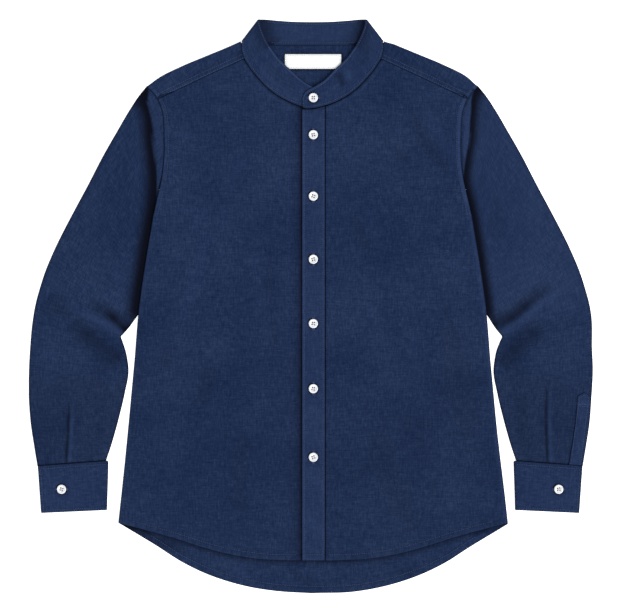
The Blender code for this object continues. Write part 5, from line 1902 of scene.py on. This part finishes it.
@dataclass
class Buttons:
    """The nine buttons, where their CAD nodes lie, each sewn on with crossed thread."""

    button: Button = field(default_factory=Button)
    nodes: tuple[str, ...] = ("button_collar", "button_1", "button_2", "button_3", "button_4", "button_5",
                              "button_6", "button_cuff_right", "button_cuff_left")

    def lay(self, finish: Material, thread: Material) -> None:
        """Puts the buttons and their thread in place.

        Args:
            finish: the buttons' material.
            thread: the thread's material.
        """
        mesh = self.button.mesh()
        for number, node in enumerate(self.nodes):
            low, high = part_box(node)
            copy = mesh.copy()
            turn = 0.35 * math.sin(number * 2.4)
            for vertex in copy.vertices:
                x, y, z = vertex.co
                vertex.co = ((low.x + high.x) / 2 + x * math.cos(turn) - y * math.sin(turn),
                             (low.y + high.y) / 2 + x * math.sin(turn) + y * math.cos(turn), low.z + z)
            dress(f"turned_{node}", copy, finish, [node])
            sewn = Stitching(width=0.6, thickness=0.5)
            reach = self.button.hole_spacing / math.sqrt(2)
            centre = np.array([(low.x + high.x) / 2, (low.y + high.y) / 2, low.z]) / MM
            for diagonal in (math.pi / 4, -math.pi / 4):
                along = np.array([math.cos(diagonal + turn), math.sin(diagonal + turn), 0])
                lift = self.button.height - self.button.dish + (0.45 if diagonal > 0 else 0.2)
                sewn.bar(centre + np.array([0, 0, lift]), along, np.array([0, 0, 1]), 2 * reach + 0.1)
            dress(f"thread_{node}", sewn.mesh(f"thread_{node}"), thread)


@dataclass
class Studio:
    """A pale board, soft light all round with a large soft key, and the camera above."""

    board_size: float = 9
    key_place: tuple[float, float, float] = (1, -0.85, 1.5)
    key_spread: float = 34
    key_strength: float = 2.6
    sky: float = 0.72
    camera_place: tuple[float, float, float] = (0.00138, 0.00483, 3.232)
    lens: float = 135
    sensor: float = 36

    def build(self) -> None:
        """Builds the board, the lights and the camera."""
        scene = bpy.context.scene
        half = self.board_size / 2
        mesh = bpy.data.meshes.new("board")
        mesh.from_pydata([(-half, -half, 0.0), (half, -half, 0.0), (half, half, 0.0), (-half, half, 0.0)], [],
                         [(0, 1, 2, 3)])
        mesh.materials.append(PaintedBoard().material())
        add_object("board", mesh)

        world = bpy.data.worlds.new("studio")
        world.use_nodes = True
        background = world.node_tree.nodes["Background"]
        background.inputs["Color"].default_value = (1, 1, 1, 1)
        background.inputs["Strength"].default_value = self.sky
        scene.world = world

        light = bpy.data.lights.new("key", "SUN")
        light.angle = math.radians(self.key_spread)
        light.energy = self.key_strength
        key = add_object("key", light)
        key.location = self.key_place
        key.rotation_euler = (-Vector(self.key_place)).to_track_quat("-Z", "Y").to_euler()

        lens = bpy.data.cameras.new("camera")
        lens.lens, lens.sensor_width = self.lens, self.sensor
        scene.camera = add_object("camera", lens)
        scene.camera.location = self.camera_place
        scene.view_settings.view_transform = "Standard"


RIGHT_FRONT_CREASES = (
    Crease(((-19, 276), (-20, 266), (-23, 252)), 0, 6, 6, shade=0.75, starts=0, ends=0.6),
    Crease(((-62.8, 135), (-62.8, 32.4), (-40.7, -105.6)), -0.7, 9, 12, shade=0.08),
    Crease(((-78, 120), (-76, 40), (-60, -60)), 0.5, 10, 10, highlight_and_abrasion=0.05),
    Crease(((-145.6, -70), (-147, -106), (-153, -140)), -0.6, 8, 10, shade=0.1),
    Crease(((-120, 262), (-133, 205), (-160, 150)), -0.6, 10, 12, shade=0.06),
    Crease(((-96, 240), (-112, 180), (-128, 90)), 0.5, 12, 12, highlight_and_abrasion=0.04),
    Crease(((-190, 60), (-200, -30), (-206, -120)), -0.5, 12, 14, shade=0.05),
    Crease(((-90, -150), (-104, -220), (-100, -300)), -0.5, 12, 10, shade=0.06),
    Crease(((-205, -190), (-196, -240), (-204, -280)), 0.4, 12, 10, highlight_and_abrasion=0.05),
)
LEFT_FRONT_CREASES = (
    Crease(((134, 290), (142, 252), (199.4, 170)), -1, 9, 8, shade=0.16),
    Crease(((156, 284), (168, 244), (212, 190)), 0.7, 9, 9, highlight_and_abrasion=0.08),
    Crease(((86, 252), (104, 226), (138, 196)), -0.7, 8, 8, shade=0.1),
    Crease(((51.8, 142), (62, 104), (82, 62)), -0.8, 9, 9, shade=0.12),
    Crease(((68, 150), (84, 106), (100, 70)), 0.4, 9, 10, highlight_and_abrasion=0.05),
    Crease(((178, 30), (196, -80), (223, -195)), -0.9, 17, 15, shade=0.1),
    Crease(((79.4, -160), (104, -230), (141, -318)), -0.8, 10, 11, shade=0.12),
    Crease(((24.2, 24), (28, -20), (35, -68)), -0.5, 6, 7, shade=0.12),
    Crease(((139, -20), (140, -74), (146, -120)), 0.7, 16, 14, highlight_and_abrasion=0.08),
    Crease(((180, -200), (190, -250), (184, -296)), 0.4, 10, 12, highlight_and_abrasion=0.05),
)
RIGHT_SLEEVE_CREASES = (
    Crease(((-260, -37), (-290, -21), (-323, -4), (-343, 14)), 1.5, 6, 6, highlight_and_abrasion=0.2, starts=0,
           ends=0.5),
    Crease(((-257, -34), (-277, -15), (-297, -2), (-320, 12)), -1.5, 5, 10, shade=0.95,
           starts=0, ends=0.95),
    Crease(((-342, -12), (-304, -44), (-262, -76)), -1.3, 11, 14, shade=0.4, starts=0.3, ends=0.1),
    Crease(((-376, 14), (-352, -1), (-328, -16)), -0.4, 12, 12, shade=0.2),
    Crease(((-336.3, -122), (-336.3, -151), (-340.2, -220)), -0.9, 1.8, 2.6, shade=0.62, ends=0.02),
    Crease(((-332, -120), (-332, -151), (-335.6, -220)), 0.5, 2.6, 3, highlight_and_abrasion=0.3, ends=0.02),
    Crease(((-262, 240), (-300, 150), (-322, 70)), 0.6, 16, 18, highlight_and_abrasion=0.03),
    Crease(((-245, 190), (-262, 120), (-276, 50)), -0.6, 12, 14, shade=0.05),
    Crease(((-372, -40), (-366, -100), (-370, -170)), 0.5, 9, 10, highlight_and_abrasion=0.05),
    Crease(((-290, -100), (-296, -150), (-303, -210)), -0.5, 9, 9, shade=0.08, ends=0.1),
)
LEFT_SLEEVE_CREASES = (
    Crease(((250, -28), (277, -14), (300, 6), (323, 26), (338, 45)), -1.5, 12, 5,
           shade=0.66, starts=0, ends=0.6),
    Crease(((260, -36), (283, -20), (305.5, -2), (328, 14), (360, 38)), 1.5, 6, 6,
           highlight_and_abrasion=0.22, starts=0, ends=0.5),
    Crease(((256, -82), (280, -58), (300, -40), (327, -20)), -1.3, 13, 12, shade=0.36,
           starts=0.1),
    Crease(((323, -94), (321.8, -155.9), (323.6, -216)), -0.9, 2.6, 1.8, shade=0.62, ends=0.02),
    Crease(((327.2, -100), (326.2, -155), (328, -216)), 0.45, 3, 2.6, highlight_and_abrasion=0.28, ends=0.02),
    Crease(((262, 240), (296, 160), (318, 80)), 0.6, 16, 18, highlight_and_abrasion=0.03),
    Crease(((240, 170), (266, 110), (290, 60)), -0.6, 12, 14, shade=0.05),
    Crease(((284, -100), (288, -150), (296, -208)), -0.5, 9, 9, shade=0.08, ends=0.1),
    Crease(((352, -60), (350, -110), (346, -150)), 0.5, 10, 10, highlight_and_abrasion=0.05),
)


def sew(piece: Object, name: str, seams: Sequence[Array], material: Material,
        holes: Sequence[tuple[tuple[float, float], bool, float]] = ()) -> None:
    """Sews rows of stitches and buttonholes on a piece.

    Args:
        piece: the piece of cloth.
        name: the stitches' name.
        seams: the rows' lines, as (across, up).
        material: the thread's material.
        holes: each buttonhole's middle, whether it runs up and down, and its length.
    """
    mesh, stitches = piece.data, Stitching()
    corners = [vertex.co for vertex in mesh.vertices]
    tree = BVHTree.FromPolygons(corners, [face.vertices for face in mesh.polygons])
    stitches.sew(tree, seams)
    for centre, is_upright, length in holes:
        stitches.buttonhole(tree, centre, is_upright, length)
    dress(name, stitches.mesh(name), material)


def main() -> None:
    """Builds the shirt piece by piece, from the table up, and then the studio."""
    logging.basicConfig(level=logging.INFO, format="%(name)s: %(message)s")
    cotton, tape = SlubCotton().material(), SatinTape().material()
    thread, polyester = SewingThread().material(), CastPolyester().material()
    white_thread = SewingThread(name="white_polyester_thread", colour="#c2c4c8", lighter="#dcdde0").material()
    plan = BodyPlan()

    back, yoke = Back(plan), Yoke(plan)
    sew(dress_wall("back_panel", back.wall(), cotton), "stitches_back", back.seams(), thread)
    sew(dress_wall("yoke", yoke.wall(), cotton), "stitches_yoke", yoke.seams(), thread)
    right_front = Front(Side.RIGHT, plan, plan.right_front_edge, RIGHT_FRONT_CREASES)
    left_front = Front(Side.LEFT, plan, plan.placket_left + SEAM_GAP, LEFT_FRONT_CREASES)
    for front in (right_front, left_front):
        label = front.side.label
        piece = dress_wall(f"front_{label}", front.wall(), cotton)
        sew(piece, f"stitches_front_{label}", front.seams(), thread)
    placket = Placket(plan)
    holes = [((placket.button_out, up), True, placket.buttonhole) for up in placket.button_ups]
    sew(dress_wall("placket", placket.wall(), cotton), "stitches_placket", placket.seams(),
        thread, holes=holes)
    collar = Collar()
    sew(dress_wall("collar_band", collar.wall(), cotton), "stitches_collar",
        collar.seams(), thread, holes=[(collar.button_place, False, collar.buttonhole)])
    sleeves = (Sleeve(Side.RIGHT, plan, RIGHT_SLEEVE_CREASES, head=16, head_foot=125,
                      head_rise=115, head_top=30, shadow=20, shadow_depth=1),
               Sleeve(Side.LEFT, plan, LEFT_SLEEVE_CREASES, head=12, head_foot=165,
                      head_rise=75, head_top=45, shadow=14, shadow_depth=0.98))
    for sleeve in sleeves:
        label = sleeve.side.label
        dress_wall(f"sleeve_{label}", sleeve.wall(), cotton)
        strip = dress_wall(f"sleeve_placket_{label}", sleeve.placket_wall(), cotton)
        if sleeve.side is Side.LEFT:
            sew(strip, "stitches_sleeve_placket", sleeve.placket_seams(), thread)
        cuff = Cuff(sleeve)
        sew(dress_wall(f"cuff_{label}", cuff.wall(), cotton), f"stitches_cuff_{label}", cuff.seams(),
            thread, holes=[(cuff.button_on(), False, cuff.buttonhole)])
    label = NeckLabel()
    sew(dress_wall("neck_label", label.wall(), tape), "stitches_label", label.seams(),
        white_thread)
    Buttons().lay(polyester, white_thread)
    Studio().build()


if __name__ == "__main__":
    main()
